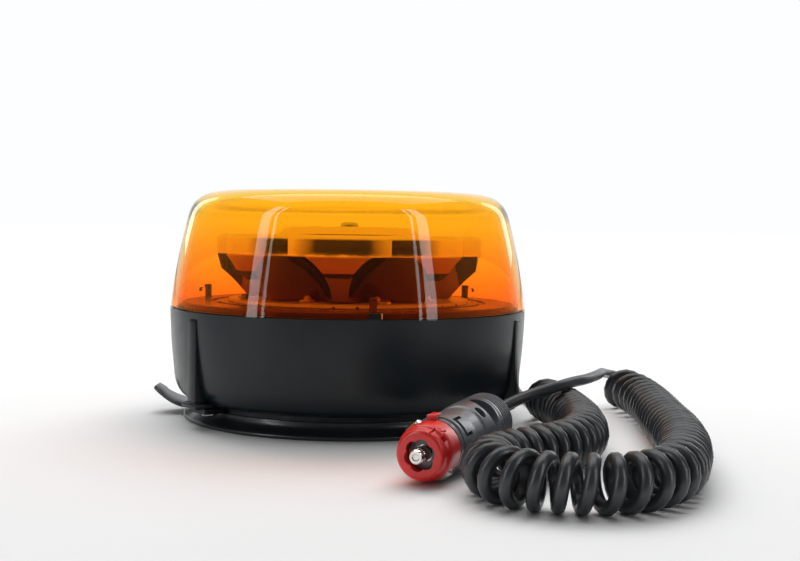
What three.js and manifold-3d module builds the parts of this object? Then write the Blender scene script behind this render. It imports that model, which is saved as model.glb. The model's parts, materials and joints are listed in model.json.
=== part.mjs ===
// Low-profile LED warning beacon with a magnetic suction base, a curly supply
// lead and a vehicle socket plug.  Millimetres, +Z up, the beacon's axis is Z
// and the ground is z = 0.  Azimuths are degrees about +Z from +X.
import * as THREE from 'three';
import { mergeVertices } from 'three/addons/utils/BufferGeometryUtils.js';
import Module from 'manifold-3d';

const wasm = await Module();
wasm.setup();

// ---------------------------------------------------------------- dimensions
// Clearances shared by mating pieces
const gap = 0.3;
const threadGap = 0.3;

// Facets round a full turn
const largeFacets = 40;
const mediumFacets = 20;
const smallFacets = 8;
const scoopFacets = 14;
const cordSides = 8;
const coilSides = 10;

// Beacon outline
const beaconRadius = 82.5;
const baseBottom = 9;
const splitHeight = 49.6;
const domeHeight = 55.5;
const domeWall = 2.5;
const domeSideLean = 7.9;
const domeShoulderInset = 24.5;
const domeShoulderDrop = 13.4;
const domeCrownRise = 1.5;
const domeSideBow = 0.32;
const domeShoulderPull = [2, 7.8];
const domeCrownPull = [10, 0.8];

// Base housing
const baseWall = 2.5;
const baseFloorInset = 12.5;
const bowlInset = 1.9;
const bowlHeight = 13;
const bowlCornerPull = [0.6, 0.1];
const bowlSideBow = 0.3;
const legAzimuth = 218;
const legWidth = 7;
const legProud = 0.4;
const legDepth = 16;
const legWebHeight = 20;
const legTopDrop = 3;
const footWidth = 13;
const footThickness = 2.6;
const footProud = 1.2;

// Deck over the base
const deckTopRise = 3.8;
const deckThickness = 2.4;
const deckInset = 5.3;
const deckCollarWall = 2;
const deckCollarDepth = 11.4;
const catchPostWidth = 3;
const catchPostDepth = 2.4;
const catchPostHeight = 6;
const catchInset = 0.8;
const sealHeight = 2;
const sealTopDrop = 2.5;
const sealClearance = 0.6;

// Dome catch lugs and the latch in the dome's rim
const latchAzimuth = 280;
const lugWidth = 6;
const lugHeight = 2;
const lugRise = 6;
const lugReach = 2.6;
const latchWidth = 5.2;
const latchHeight = 3.4;
const latchDepth = 2.3;
const latchTailLength = 9;
const latchTailWidth = 4;
const latchTailThickness = 1;
const latchTravel = 2;

// Light head
const capRadius = beaconRadius - 20.5;
const capLobeRadius = 32;
const capHeight = 9.2;
const capWall = 2.2;
const boardRadius = capRadius - 6;
const boardThickness = 1.6;
const boardScrewRadius = boardRadius - 6;
const hoodCount = 8;
const ribAzimuth = 268;
const ledRadius = boardRadius - 16;
const ledHalf = 2.6;
const ledBodyHeight = 0.8;
const ledLensHeight = 2.1;
const reflectorBoreRadius = 22;
const reflectorTopRadius = capRadius - 1;
const reflectorFlare = 14;
const reflectorHeight = 20;
const scoopFocus = 3.76;
const scoopVertexRadius = ledRadius - scoopFocus;
const scoopLength = 28;
const scoopSink = 1;
const capRaisedRadius = 34;
const capRaisedHeight = 3.8;
const capRaisedChamfer = 1;
const capBoltRadius = 2;
const capBoltHeadRadius = 4.2;
const capBoltHeadHeight = 2.4;
const capNutHeight = 3.6;
const capNutRadius = 4.2;

// Electronics
const driverRadius = boardScrewRadius - 8;
const driverHeight = 22;
const driverThickness = 1.6;
const driverScrewRadius = driverRadius - 8;
const bossRadius = 4;
const screwRadius = 1.5;
const screwHeadRadius = 2.8;
const screwHeadHeight = 1.9;
const boardScrewLength = 19;
const driverScrewLength = 8;
const capacitorRadius = 5;
const capacitorHeight = 14;
const capacitorSetback = 16;
const inductorRadius = 10;
const inductorBore = 4.5;
const inductorHeight = 8;
const inductorPlace = [8, -17];
const terminalLength = 16;
const terminalDepth = 9;
const terminalHeight = 9;
const terminalSetback = 24;
const connectorLength = 11;
const connectorDepth = 8;
const connectorHeight = 6;
const connectorOffset = 12;
const wireRadius = 1.1;
const wireHoleRadius = 4;

// Magnetic suction base
const padRadius = beaconRadius - 6.2;
const padFloor = 1.6;
const padTopRadius = padRadius - 7.8;
const carrierThickness = 2.2;
const grooveDepth = 1.2;
const padContactRadius = 53;
const grooveEndRadius = padRadius - 6.3;
const magnetRadius = 52;
const magnetBore = 20;
const poleRadius = 18;
const magnetHeight = baseBottom - padFloor - carrierThickness;
const carrierRadius = beaconRadius - 13.5;
const earWidth = 14;
const earReach = beaconRadius - 2.5;
const legScrewPitchRadius = beaconRadius - 8.5;
const legScrewRadius = 1.9;
const legScrewHeadRadius = 3.5;
const legScrewHeadHeight = 1.8;
const legScrewLength = 16;
const tabWidth = 22;
const tabThickness = 1.5;
const tabRootRadius = padRadius - 4.3;
const tabRise = 2.8;
const tabLine = [[0, 0], [6, 1], [12, 3.5], [19, 8.4]];

// Cord gland
const glandAzimuth = 45;
const glandHeight = 26;
const glandSeat = 0.7;
const glandFlangeRadius = 6.2;
const glandFlangeLength = 3;
const glandNeckRadius = 5;
const glandTipRadius = 3.6;
const glandTipLength = 14;
const glandStemRadius = 4.2;
const glandStemLength = 11;
const glandNutRadius = 6.4;
const glandNutLength = 4;
const glandNutSetback = 3.8;

// Cord and plug
const cordRadius = 2.35;
const coilRadius = 10;
const plugFront = new THREE.Vector3(beaconRadius - 51.1, -161, 10.9);
const plugAxis = new THREE.Vector3(-27.4, -67.8, -1.4).normalize();
const plugLength = 73;
const sleeveLength = 14.5;
const sleeveFrontRadius = 9.4;
const sleeveRearRadius = 10.2;
const noseRadius = 5.6;
const noseSetback = 4.5;
const noseWall = 1;
const barrelRadius = 10.8;
const barrelRearRadius = 11.4;
const barrelShoulder = 3.5;
const barrelStep = 0.6;
const chamberRadius = 4.6;
const chamberEnd = 60;
const plugCapLength = 14;
const plugCapBore = 8.6;
const plugCapEndWall = 2;
const tipRadius = 2.6;
const tipProtrusion = 2.8;
const tipCollarRadius = 3.9;
const tipCollarLength = 2;
const tipTravel = 2;
const fuseRadius = 3.1;
const fuseLength = 20;
const springRadius = 3.3;
const springWire = 0.45;
const springLength = 15;
const springTurns = 5;
const contactAzimuth = 127;
const contactWidth = 5;
const contactLength = 6.5;
const contactProud = 1.1;
const contactInner = 7.6;
const contactSetback = 1;
const sleeveLugAzimuth = 92;
const sleeveLugWidth = 3.6;
const sleeveLugThickness = 1;
const sleeveLugLength = 8.5;
const sleeveLugRoot = 2;

// Heights worked out from the values above
const domeRim = splitHeight + gap;
const domeTop = domeRim + domeHeight;
const carrierBottom = padFloor + magnetHeight;
const deckTop = splitHeight + deckTopRise;
const deckBottom = deckTop - deckThickness;
const deckRadius = beaconRadius - deckInset;
const boardTop = deckTop + boardThickness;
const reflectorBottom = boardTop + gap;
const reflectorTop = reflectorBottom + reflectorHeight;
const capTop = reflectorTop + capHeight;
const hoodStep = 360 / hoodCount;
const baseFloorTop = baseBottom + baseWall;

// Finishes
const finishes = {
  amber: { color: 0xff8a10, roughness: 0.08, metalness: 0, transparent: true, opacity: 0.45 },
  black: { color: 0x272c2f, roughness: 0.45, metalness: 0 },
  deckBlack: { color: 0x1a1a1c, roughness: 0.5, metalness: 0 },
  rubber: { color: 0x151618, roughness: 0.35, metalness: 0 },
  board: { color: 0xe9e6df, roughness: 0.5, metalness: 0 },
  chrome: { color: 0xd8d8dc, roughness: 0.12, metalness: 1 },
  nickel: { color: 0xc9c7c0, roughness: 0.25, metalness: 1 },
  steel: { color: 0x9a9da0, roughness: 0.4, metalness: 1 },
  ferrite: { color: 0x3a3a3c, roughness: 0.7, metalness: 0.2 },
  green: { color: 0x1f5a35, roughness: 0.5, metalness: 0 },
  copper: { color: 0xb06a35, roughness: 0.4, metalness: 1 },
  ledYellow: { color: 0xf0d060, roughness: 0.3, metalness: 0 },
  red: { color: 0xc9201c, roughness: 0.35, metalness: 0 },
  glass: { color: 0xdfe6e8, roughness: 0.1, metalness: 0 },
};

// ------------------------------------------------------------------- helpers
const radians = THREE.MathUtils.degToRad;

// Welds a geometry, drops collapsed triangles and turns its faces outwards.
function closedBody(geometry) {
  const bare = new THREE.BufferGeometry();
  bare.setAttribute('position', geometry.getAttribute('position').clone());
  if (geometry.index) bare.setIndex(geometry.index.clone());
  const welded = mergeVertices(bare, 1e-4);
  const source = welded.index.array;
  const corner = [new THREE.Vector3(), new THREE.Vector3(), new THREE.Vector3()];
  const place = welded.getAttribute('position');
  const faces = [];
  let volume = 0;
  for (let i = 0; i < source.length; i += 3) {
    const [a, b, c] = [source[i], source[i + 1], source[i + 2]];
    if (a === b || b === c || c === a) continue;
    faces.push(a, b, c);
    [a, b, c].forEach((vertex, k) => corner[k].fromBufferAttribute(place, vertex));
    volume += corner[0].dot(corner[1].clone().cross(corner[2]));
  }
  welded.setIndex(volume < 0 ? faces.reverse() : faces);
  return welded;
}

function toSolid(geometry) {
  const body = closedBody(geometry);
  const vertProperties = new Float32Array(body.getAttribute('position').array);
  const triVerts = new Uint32Array(body.index.array);
  return new wasm.Manifold(new wasm.Mesh({ numProp: 3, vertProperties, triVerts }));
}

// Joins the pieces in `add` to a base geometry, then cuts away those in `cut`.
function combine(base, { add = [], cut = [] }) {
  let solid = toSolid(base);
  for (const geometry of add) solid = solid.add(toSolid(geometry));
  for (const geometry of cut) solid = solid.subtract(toSolid(geometry));
  const mesh = solid.getMesh();
  const geometry = new THREE.BufferGeometry();
  geometry.setAttribute('position', new THREE.BufferAttribute(new Float32Array(mesh.vertProperties), 3));
  geometry.setIndex(Array.from(mesh.triVerts));
  return geometry;
}

// Revolves [radius, height] points about Z.
function turned(points, facets) {
  const profile = points.map(([radius, height]) => new THREE.Vector2(radius, height));
  return new THREE.LatheGeometry(profile, facets).rotateX(Math.PI / 2);
}

function ring(inner, outer, bottom, top, facets) {
  return turned([[inner, bottom], [outer, bottom], [outer, top], [inner, top], [inner, bottom]], facets);
}

function disc(radius, bottom, top, facets) {
  return turned([[0, bottom], [radius, bottom], [radius, top], [0, top]], facets);
}

function hexNut(bore, radius, bottom, top) {
  return combine(disc(radius, bottom, top, 6), { cut: [disc(bore, bottom - 1, top + 1, mediumFacets)] });
}

// A box from radial distance `from` to `to`, centred on +X, then turned to an azimuth.
function radialBox(from, to, width, bottom, top, azimuth) {
  const box = new THREE.BoxGeometry(to - from, width, top - bottom);
  box.translate((from + to) / 2, 0, (bottom + top) / 2);
  return box.rotateZ(radians(azimuth));
}

// An upright cylinder at radial distance `distance` on an azimuth.
function post(radius, bottom, top, distance, azimuth, facets = smallFacets) {
  return disc(radius, bottom, top, facets).translate(distance, 0, 0).rotateZ(radians(azimuth));
}

function tube(points, radius, sides, steps) {
  const section = new THREE.Shape();
  for (let i = 0; i < sides; i += 1) {
    const angle = (2 * Math.PI * i) / sides;
    const corner = [radius * Math.cos(angle), radius * Math.sin(angle)];
    if (i === 0) section.moveTo(...corner);
    else section.lineTo(...corner);
  }
  section.closePath();
  const corners = points.map((point) => new THREE.Vector3(...point));
  const path = new THREE.CatmullRomCurve3(corners, false, 'centripetal');
  return new THREE.ExtrudeGeometry(section, { steps, bevelEnabled: false, extrudePath: path });
}

const beacon = new THREE.Group();

function piece(name, geometry, finish, parent = beacon) {
  const mesh = new THREE.Mesh(closedBody(geometry), new THREE.MeshStandardMaterial(finishes[finish]));
  mesh.name = name;
  parent.add(mesh);
  return mesh;
}

// ---------------------------------------------------------------------- dome
// Half outline of the dome, rim to crown, drawn `inset` inside the outer skin.
function domeOutline(inset) {
  const rim = beaconRadius - inset;
  const top = domeTop - inset;
  const shoulder = [rim - domeSideLean, top - domeShoulderDrop];
  const crownEdge = [rim - domeShoulderInset, top - domeCrownRise];
  const side = new THREE.QuadraticBezierCurve(
    new THREE.Vector2(rim, domeRim),
    new THREE.Vector2(rim - domeSideBow * domeSideLean, (domeRim + shoulder[1]) / 2),
    new THREE.Vector2(...shoulder));
  const corner = new THREE.CubicBezierCurve(
    new THREE.Vector2(...shoulder),
    new THREE.Vector2(shoulder[0] - domeShoulderPull[0], shoulder[1] + domeShoulderPull[1]),
    new THREE.Vector2(crownEdge[0] + domeCrownPull[0], crownEdge[1] - domeCrownPull[1]),
    new THREE.Vector2(...crownEdge));
  const crown = new THREE.QuadraticBezierCurve(
    new THREE.Vector2(...crownEdge),
    new THREE.Vector2(crownEdge[0] / 2, top),
    new THREE.Vector2(0, top));
  const points = [...side.getPoints(3), ...corner.getPoints(4).slice(1), ...crown.getPoints(2).slice(1)];
  return points.map((point) => [point.x, point.y]);
}

function catchAzimuths() {
  return [0, 1, 2].map((i) => latchAzimuth + 120 * i);
}

function buildDome() {
  const outline = [...domeOutline(0), ...domeOutline(domeWall).reverse(), [beaconRadius, domeRim]];
  const shell = turned(outline, largeFacets);
  const wallInner = beaconRadius - domeWall;
  const lugs = catchAzimuths().slice(1).map((azimuth) => radialBox(
    wallInner - lugReach, wallInner + domeWall / 4, lugWidth,
    domeRim + lugRise, domeRim + lugRise + lugHeight, azimuth));
  const notch = radialBox(
    wallInner - domeWall, beaconRadius + domeWall, latchWidth + 2 * gap,
    domeRim - domeWall, domeRim + latchHeight + gap, latchAzimuth);
  return combine(shell, { add: lugs, cut: [notch] });
}

function buildLatch() {
  const outer = beaconRadius - domeWall + latchTravel - gap / 2;
  const inner = outer - latchDepth;
  const block = radialBox(inner, outer, latchWidth, domeRim, domeRim + latchHeight, latchAzimuth);
  const tail = radialBox(
    inner - latchTailLength, inner + latchDepth / 2, latchTailWidth,
    domeRim, domeRim + latchTailThickness, latchAzimuth);
  return combine(block, { add: [tail] });
}

// ---------------------------------------------------------------------- base
// Half outline of the base bowl, floor to rim, drawn `inset` inside the outer skin.
function bowlOutline(inset) {
  const rim = beaconRadius - inset;
  const floor = baseBottom + inset;
  const bowl = [rim - bowlInset, floor + bowlHeight];
  const corner = new THREE.QuadraticBezierCurve(
    new THREE.Vector2(rim - baseFloorInset, floor),
    new THREE.Vector2(rim - bowlInset - bowlCornerPull[0], floor - bowlCornerPull[1]),
    new THREE.Vector2(...bowl));
  const side = new THREE.QuadraticBezierCurve(
    new THREE.Vector2(...bowl),
    new THREE.Vector2(rim - bowlSideBow, floor + 2 * bowlHeight),
    new THREE.Vector2(rim, splitHeight));
  const points = [...corner.getPoints(3), ...side.getPoints(2).slice(1)];
  return points.map((point) => [point.x, point.y]);
}

function legAzimuths() {
  return [0, 1, 2].map((i) => legAzimuth + 120 * i);
}

function boardScrewAzimuths() {
  return [0, 1, 2, 3].map((i) => ribAzimuth + hoodStep / 2 + 90 * i);
}

function driverScrewAzimuths() {
  return [0, 1, 2].map((i) => legAzimuth + 60 + 120 * i);
}

function buildBase() {
  const shell = turned([[0, baseBottom], ...bowlOutline(0), ...bowlOutline(baseWall).reverse(),
    [0, baseFloorTop]], largeFacets);
  const outer = beaconRadius + legProud;
  const add = [];
  const cut = [];
  for (const azimuth of legAzimuths()) {
    const inner = outer - legDepth;
    const ribInner = outer - legProud - baseWall;
    add.push(radialBox(ribInner, outer, legWidth, baseBottom, splitHeight - legTopDrop, azimuth));
    add.push(radialBox(inner, outer, legWidth, baseBottom, baseBottom + legWebHeight, azimuth));
    add.push(radialBox(inner, outer + footProud, footWidth, baseBottom, baseBottom + footThickness, azimuth));
    cut.push(post(legScrewRadius + threadGap, baseBottom - 1,
      carrierBottom + legScrewLength + 1, legScrewPitchRadius, azimuth));
  }
  for (const azimuth of boardScrewAzimuths()) {
    add.push(post(bossRadius, baseBottom + baseWall / 2, deckBottom, boardScrewRadius, azimuth));
    cut.push(post(screwRadius + threadGap, deckBottom - boardScrewLength, deckBottom + 1,
      boardScrewRadius, azimuth));
  }
  for (const azimuth of driverScrewAzimuths()) {
    add.push(post(bossRadius, baseBottom + baseWall / 2, driverHeight, driverScrewRadius, azimuth));
    cut.push(post(screwRadius + threadGap, driverHeight - driverScrewLength, driverHeight + 1,
      driverScrewRadius, azimuth));
  }
  cut.push(radialCylinder(glandStemRadius + gap, beaconRadius - 15, beaconRadius + 5));
  return combine(shell, { add, cut });
}

// A round bar lying along the gland's azimuth, between two radial distances.
function radialCylinder(radius, from, to, facets = mediumFacets) {
  return alongGland(disc(radius, from, to, facets));
}

// Lays a piece turned about Z along the gland's azimuth, with its +Z pointing outwards.
function alongGland(geometry) {
  return geometry.rotateY(Math.PI / 2).translate(0, 0, glandHeight).rotateZ(radians(glandAzimuth));
}

function buildDeck() {
  const collarInner = deckRadius - deckCollarWall;
  const collarBottom = deckBottom - deckCollarDepth;
  const shell = turned([[0, deckBottom], [collarInner, deckBottom], [collarInner, collarBottom],
    [deckRadius, collarBottom], [deckRadius, deckTop], [0, deckTop]], largeFacets);
  const postOuter = deckRadius - catchInset;
  const add = catchAzimuths().map((azimuth) => radialBox(
    postOuter - catchPostDepth, postOuter, catchPostWidth,
    deckTop - deckThickness / 2, deckTop + catchPostHeight, azimuth));
  const cut = boardScrewAzimuths().map((azimuth) => post(
    screwRadius + threadGap, deckBottom - 1, deckTop + 1, boardScrewRadius, azimuth));
  cut.push(disc(capBoltRadius + gap, deckBottom - 1, deckTop + 1, smallFacets));
  cut.push(disc(wireHoleRadius, deckBottom - 1, deckTop + 1, smallFacets).translate(-connectorOffset, 0, 0));
  cut.push(radialBox(collarInner - 1, deckRadius + 1, latchTailWidth + 2 * gap,
    domeRim - gap, domeRim + latchTailThickness + gap, latchAzimuth));
  return combine(shell, { add, cut });
}

function buildSeal() {
  const outer = beaconRadius - baseWall - sealClearance;
  const top = splitHeight - sealTopDrop;
  return ring(deckRadius + gap, outer, top - sealHeight, top, largeFacets);
}

// ---------------------------------------------------------------- light head
function buildLedBoard() {
  const cut = boardScrewAzimuths().map((azimuth) => post(
    screwRadius + threadGap, deckTop - 1, boardTop + 1, boardScrewRadius, azimuth));
  cut.push(disc(capBoltRadius + gap, deckTop - 1, boardTop + 1, smallFacets));
  cut.push(disc(wireRadius + gap, deckTop - 1, boardTop + 1, smallFacets).translate(-connectorOffset, 0, 0));
  return combine(disc(boardRadius, deckTop, boardTop, largeFacets), { cut });
}

function hoodAzimuth(index) {
  return ribAzimuth + hoodStep * (index + 0.5);
}

function buildLed(index) {
  const profile = [[0, 0], [ledHalf, 0], [ledHalf, ledBodyHeight], [0.72 * ledHalf, ledBodyHeight],
    [0.6 * ledHalf, ledBodyHeight + 0.6 * ledLensHeight], [0.3 * ledHalf, ledBodyHeight + 0.93 * ledLensHeight],
    [0, ledBodyHeight + ledLensHeight]];
  return turned(profile, smallFacets).translate(ledRadius, 0, boardTop).rotateZ(radians(hoodAzimuth(index)));
}

// One half-buried paraboloid with its axis along a radius; its focus sits over the LED.
function buildScoop(index) {
  const stations = 5;
  const profile = [[0, 0]];
  for (let i = 1; i <= stations; i += 1) {
    const depth = scoopLength * (i / stations) ** 2;
    profile.push([Math.sqrt(4 * scoopFocus * depth), depth]);
  }
  profile.push([0, scoopLength]);
  const scoop = turned(profile, scoopFacets).rotateY(Math.PI / 2);
  scoop.translate(scoopVertexRadius, 0, reflectorBottom - scoopSink);
  return scoop.rotateZ(radians(hoodAzimuth(index)));
}

// The outer side flares from the foot to the top; each row of the profile is
// a share of the flare and a share of the height.
function buildReflector() {
  const rows = [[0, 0], [0.21, 0.17], [0.5, 0.4], [0.89, 0.65], [1, 0.97], [1, 1]];
  const side = rows.map(([out, up]) => [
    reflectorTopRadius - reflectorFlare * (1 - out), reflectorBottom + up * reflectorHeight]);
  const bottomOfBore = [reflectorBoreRadius, reflectorBottom];
  const body = turned([bottomOfBore, ...side, [reflectorBoreRadius, reflectorTop], bottomOfBore], largeFacets);
  const cut = [];
  for (let i = 0; i < hoodCount; i += 1) cut.push(buildScoop(i));
  return combine(body, { cut });
}

// Outline of eight bulging lobes, one over each rib, drawn `inset` inside the outer edge.
function lobedOutline(inset) {
  const arcPoints = 4;
  const arcCentre = capRadius - capLobeRadius;
  const half = radians(hoodStep / 2);
  const arcRadius = capLobeRadius - inset;
  const edge = arcCentre * Math.cos(half) + Math.sqrt(arcRadius ** 2 - (arcCentre * Math.sin(half)) ** 2);
  const sweep = Math.atan2(edge * Math.sin(half), edge * Math.cos(half) - arcCentre);
  const outline = [];
  for (let lobe = 0; lobe < hoodCount; lobe += 1) {
    const turn = radians(ribAzimuth + hoodStep * lobe);
    for (let i = 0; i < arcPoints; i += 1) {
      const angle = sweep * ((2 * i) / arcPoints - 1);
      const x = arcCentre + arcRadius * Math.cos(angle);
      const y = arcRadius * Math.sin(angle);
      outline.push(new THREE.Vector2(
        x * Math.cos(turn) - y * Math.sin(turn),
        x * Math.sin(turn) + y * Math.cos(turn)));
    }
  }
  return new THREE.Shape(outline);
}

function lobedPrism(inset, bottom, top) {
  const prism = new THREE.ExtrudeGeometry(lobedOutline(inset), { depth: top - bottom, bevelEnabled: false });
  return prism.translate(0, 0, bottom);
}

function buildCap() {
  const raised = turned([[0, capTop - capWall / 2], [capRaisedRadius, capTop - capWall / 2],
    [capRaisedRadius, capTop + capRaisedHeight - capRaisedChamfer],
    [capRaisedRadius - capRaisedChamfer, capTop + capRaisedHeight],
    [0, capTop + capRaisedHeight]], largeFacets);
  return combine(lobedPrism(0, reflectorTop, capTop), {
    add: [raised],
    cut: [lobedPrism(capWall, reflectorTop - 1, capTop - capWall),
      disc(capBoltRadius + gap, reflectorTop, capTop + capRaisedHeight + 1, smallFacets)],
  });
}

function panScrew(radius, length, headRadius, headHeight) {
  return turned([[0, -length], [radius, -length], [radius, 0], [headRadius, 0],
    [headRadius, 0.6 * headHeight], [0.7 * headRadius, headHeight], [0, headHeight]], smallFacets);
}

// ------------------------------------------------------------- magnetic base
function buildPad() {
  return turned([
    [0, 0], [padContactRadius, 0], [padContactRadius + 2, grooveDepth],
    [grooveEndRadius - 3, grooveDepth], [grooveEndRadius, 0],
    [padRadius - gap, 0], [padRadius, grooveDepth], [padTopRadius + 3, 2 * grooveDepth],
    [padTopRadius, carrierBottom], [magnetRadius + gap, carrierBottom],
    [magnetRadius + gap, padFloor], [0, padFloor]], largeFacets);
}

function buildCarrier() {
  const top = baseBottom;
  const add = [];
  const cut = [];
  for (const azimuth of legAzimuths()) {
    add.push(radialBox(carrierRadius - 6, earReach, earWidth, carrierBottom, top, azimuth));
    cut.push(post(legScrewRadius + threadGap, carrierBottom - 1, top + 1, legScrewPitchRadius, azimuth));
  }
  return combine(disc(carrierRadius, carrierBottom, top, largeFacets), { add, cut });
}

// Curved pull strip: an arched side view, as wide as the tab.
function buildReleaseTab() {
  const line = new THREE.SplineCurve(tabLine.map((point) => new THREE.Vector2(...point)));
  const count = 8;
  const lower = [];
  const upper = [];
  for (let i = 0; i <= count; i += 1) {
    const point = line.getPoint(i / count);
    const tangent = line.getTangent(i / count);
    lower.push(point);
    upper.push(new THREE.Vector2(point.x - tangent.y * tabThickness, point.y + tangent.x * tabThickness));
  }
  const side = new THREE.Shape([...lower, ...upper.reverse()]);
  const strip = new THREE.ExtrudeGeometry(side, { depth: tabWidth, bevelEnabled: false });
  strip.rotateX(Math.PI / 2).translate(0, tabWidth / 2, 0);
  return strip;
}

// --------------------------------------------------------------------- gland
function buildGland() {
  const flangeBack = beaconRadius - glandSeat;
  const profile = [
    [cordRadius + gap, flangeBack - glandStemLength], [glandStemRadius, flangeBack - glandStemLength],
    [glandStemRadius, flangeBack], [glandFlangeRadius, flangeBack],
    [glandFlangeRadius, flangeBack + glandFlangeLength],
    [glandNeckRadius, flangeBack + glandFlangeLength + 1],
    [glandTipRadius, flangeBack + glandTipLength], [cordRadius + gap, flangeBack + glandTipLength],
    [cordRadius + gap, flangeBack - glandStemLength]];
  return alongGland(turned(profile, mediumFacets));
}

function buildGlandNut() {
  const outer = beaconRadius - baseWall - glandNutSetback;
  return alongGland(hexNut(glandStemRadius + gap, glandNutRadius, outer - glandNutLength, outer));
}

// ---------------------------------------------------------------------- plug
// The plug is drawn along +Z with its front face at z = 0 and its rear at -plugLength.
const plug = new THREE.Group();
const plugSide = new THREE.Vector3(0, 0, 1).cross(plugAxis).normalize();
const plugUp = plugAxis.clone().cross(plugSide);
plug.position.copy(plugFront);
plug.quaternion.setFromRotationMatrix(new THREE.Matrix4().makeBasis(plugSide, plugUp, plugAxis));
beacon.add(plug);

const spigotRear = -plugLength + plugCapEndWall + gap;
const capFront = -plugLength + plugCapLength;
const contactRear = -sleeveLength + contactSetback;

function buildPlugBody() {
  const front = -sleeveLength - gap;
  return turned([
    [tipRadius + gap, -noseSetback], [noseRadius, -noseSetback], [noseRadius, front],
    [barrelRadius - barrelStep, front], [barrelRadius - barrelStep, front - barrelShoulder],
    [barrelRadius, front - barrelShoulder - 0.4], [barrelRearRadius, capFront + gap],
    [plugCapBore - gap, capFront + gap], [plugCapBore - gap, spigotRear],
    [cordRadius + gap, spigotRear], [cordRadius + gap, -chamberEnd], [chamberRadius, -chamberEnd],
    [chamberRadius, -noseSetback - noseWall], [tipRadius + gap, -noseSetback - noseWall],
    [tipRadius + gap, -noseSetback]], mediumFacets);
}

function buildPlugCap() {
  return turned([
    [plugCapBore, capFront], [barrelRearRadius, capFront], [barrelRearRadius, -plugLength + 0.8],
    [barrelRearRadius - 0.8, -plugLength], [cordRadius + gap, -plugLength],
    [cordRadius + gap, -plugLength + plugCapEndWall], [plugCapBore, -plugLength + plugCapEndWall],
    [plugCapBore, capFront]], mediumFacets);
}

function contactWindow(azimuth) {
  return radialBox(noseRadius, barrelRadius + 2, contactWidth + 2 * gap,
    contactRear - gap, contactRear + contactLength + gap, azimuth);
}

function buildSleeve() {
  const lugInner = barrelRadius + gap;
  const shell = turned([
    [noseRadius + gap, -sleeveLength], [sleeveRearRadius, -sleeveLength], [sleeveRearRadius, -sleeveLength + 5],
    [sleeveFrontRadius, -1.5], [sleeveFrontRadius - 1, 0], [noseRadius + gap, 0],
    [noseRadius + gap, -sleeveLength]], mediumFacets);
  const lugFront = -sleeveLength + sleeveLugRoot;
  return combine(shell, {
    add: [radialBox(sleeveRearRadius - sleeveLugRoot, lugInner + sleeveLugThickness, sleeveLugWidth,
      -sleeveLength, lugFront, sleeveLugAzimuth),
    radialBox(lugInner, lugInner + sleeveLugThickness, sleeveLugWidth,
      lugFront - sleeveLugLength, lugFront, sleeveLugAzimuth)],
    cut: [contactWindow(contactAzimuth), contactWindow(contactAzimuth + 180)],
  });
}

function buildContact(azimuth) {
  return radialBox(contactInner, sleeveRearRadius + contactProud, contactWidth,
    contactRear, contactRear + contactLength, azimuth);
}

function buildTip() {
  const collarFront = -noseSetback - noseWall - gap;
  return turned([
    [0, collarFront - tipCollarLength], [tipCollarRadius, collarFront - tipCollarLength],
    [tipCollarRadius, collarFront], [tipRadius, collarFront], [tipRadius, tipProtrusion - 1],
    [tipRadius - 1, tipProtrusion], [0, tipProtrusion]], mediumFacets);
}

const fuseFront = -noseSetback - noseWall - tipCollarLength - 2 * gap;
const springFront = fuseFront - fuseLength - tipTravel - gap;

function buildSpring() {
  const perTurn = 6;
  const count = springTurns * perTurn;
  const points = [];
  for (let i = 0; i <= count; i += 1) {
    const angle = (2 * Math.PI * i) / perTurn;
    points.push([springRadius * Math.cos(angle), springRadius * Math.sin(angle), springFront - 0.6
      - (springLength * i) / count]);
  }
  return tube(points, springWire, 4, count);
}

// ---------------------------------------------------------------------- cord
// Centre lines, with x measured from the beacon's flank.  The coil lies on the
// ground, and its turns fill a tube of coilRadius.
const glandTip = beaconRadius - glandSeat + glandTipLength + gap;
const tailStart = new THREE.Vector3(glandTip, 0, glandHeight)
  .applyAxisAngle(new THREE.Vector3(0, 0, 1), radians(glandAzimuth));
const fromFlank = ([x, y, z = coilRadius]) => [beaconRadius + x, y, z];
const tailRoute = [tailStart.toArray(), ...[
  [-8, 74, 23.5], [-1.5, 74, 14], [2, 66, 5], [4, 52, 2.5],
  [6, 38, 2.5], [8.5, 22, 2.5], [10.1, 6, 2.6], [9.9, -11.5, 2.8]].map(fromFlank)];
const coilRoute = [
  [9.3, -12], [10.7, -27], [14.1, -42], [15.5, -68], [14.9, -92], [10.5, -117], [0.5, -137], [-11.5, -150],
  [-21.5, -159], [-27.5, -170], [-26, -184], [-17.5, -193.5], [-6.5, -197.5], [5.5, -198.5], [18.5, -194],
  [31.5, -180], [39.9, -158], [46.5, -130], [49.9, -104], [52, -70], [54.3, -38], [55.3, -12],
  [54.5, 12], [51, 33]].map(fromFlank);
const leadRoute = [
  [-23.6, -93, 12.3], [-19.9, -84.6, 13.9], [-13.5, -77.5, 16.9], [-3.5, -70, 20.2], [7.5, -60, 22.6],
  [16, -48, 23], [23, -36, 22], [31.5, -12, 20.2], [36.5, 12, 18.8], [39.7, 28, 18.6],
  [43.5, 38, 18.4], [49.5, 43.5, 17.2], [56, 44.5, 14.2], [59.2, 40.5, 11.4], [58.7, 35.6, 10]].map(fromFlank);

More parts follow.
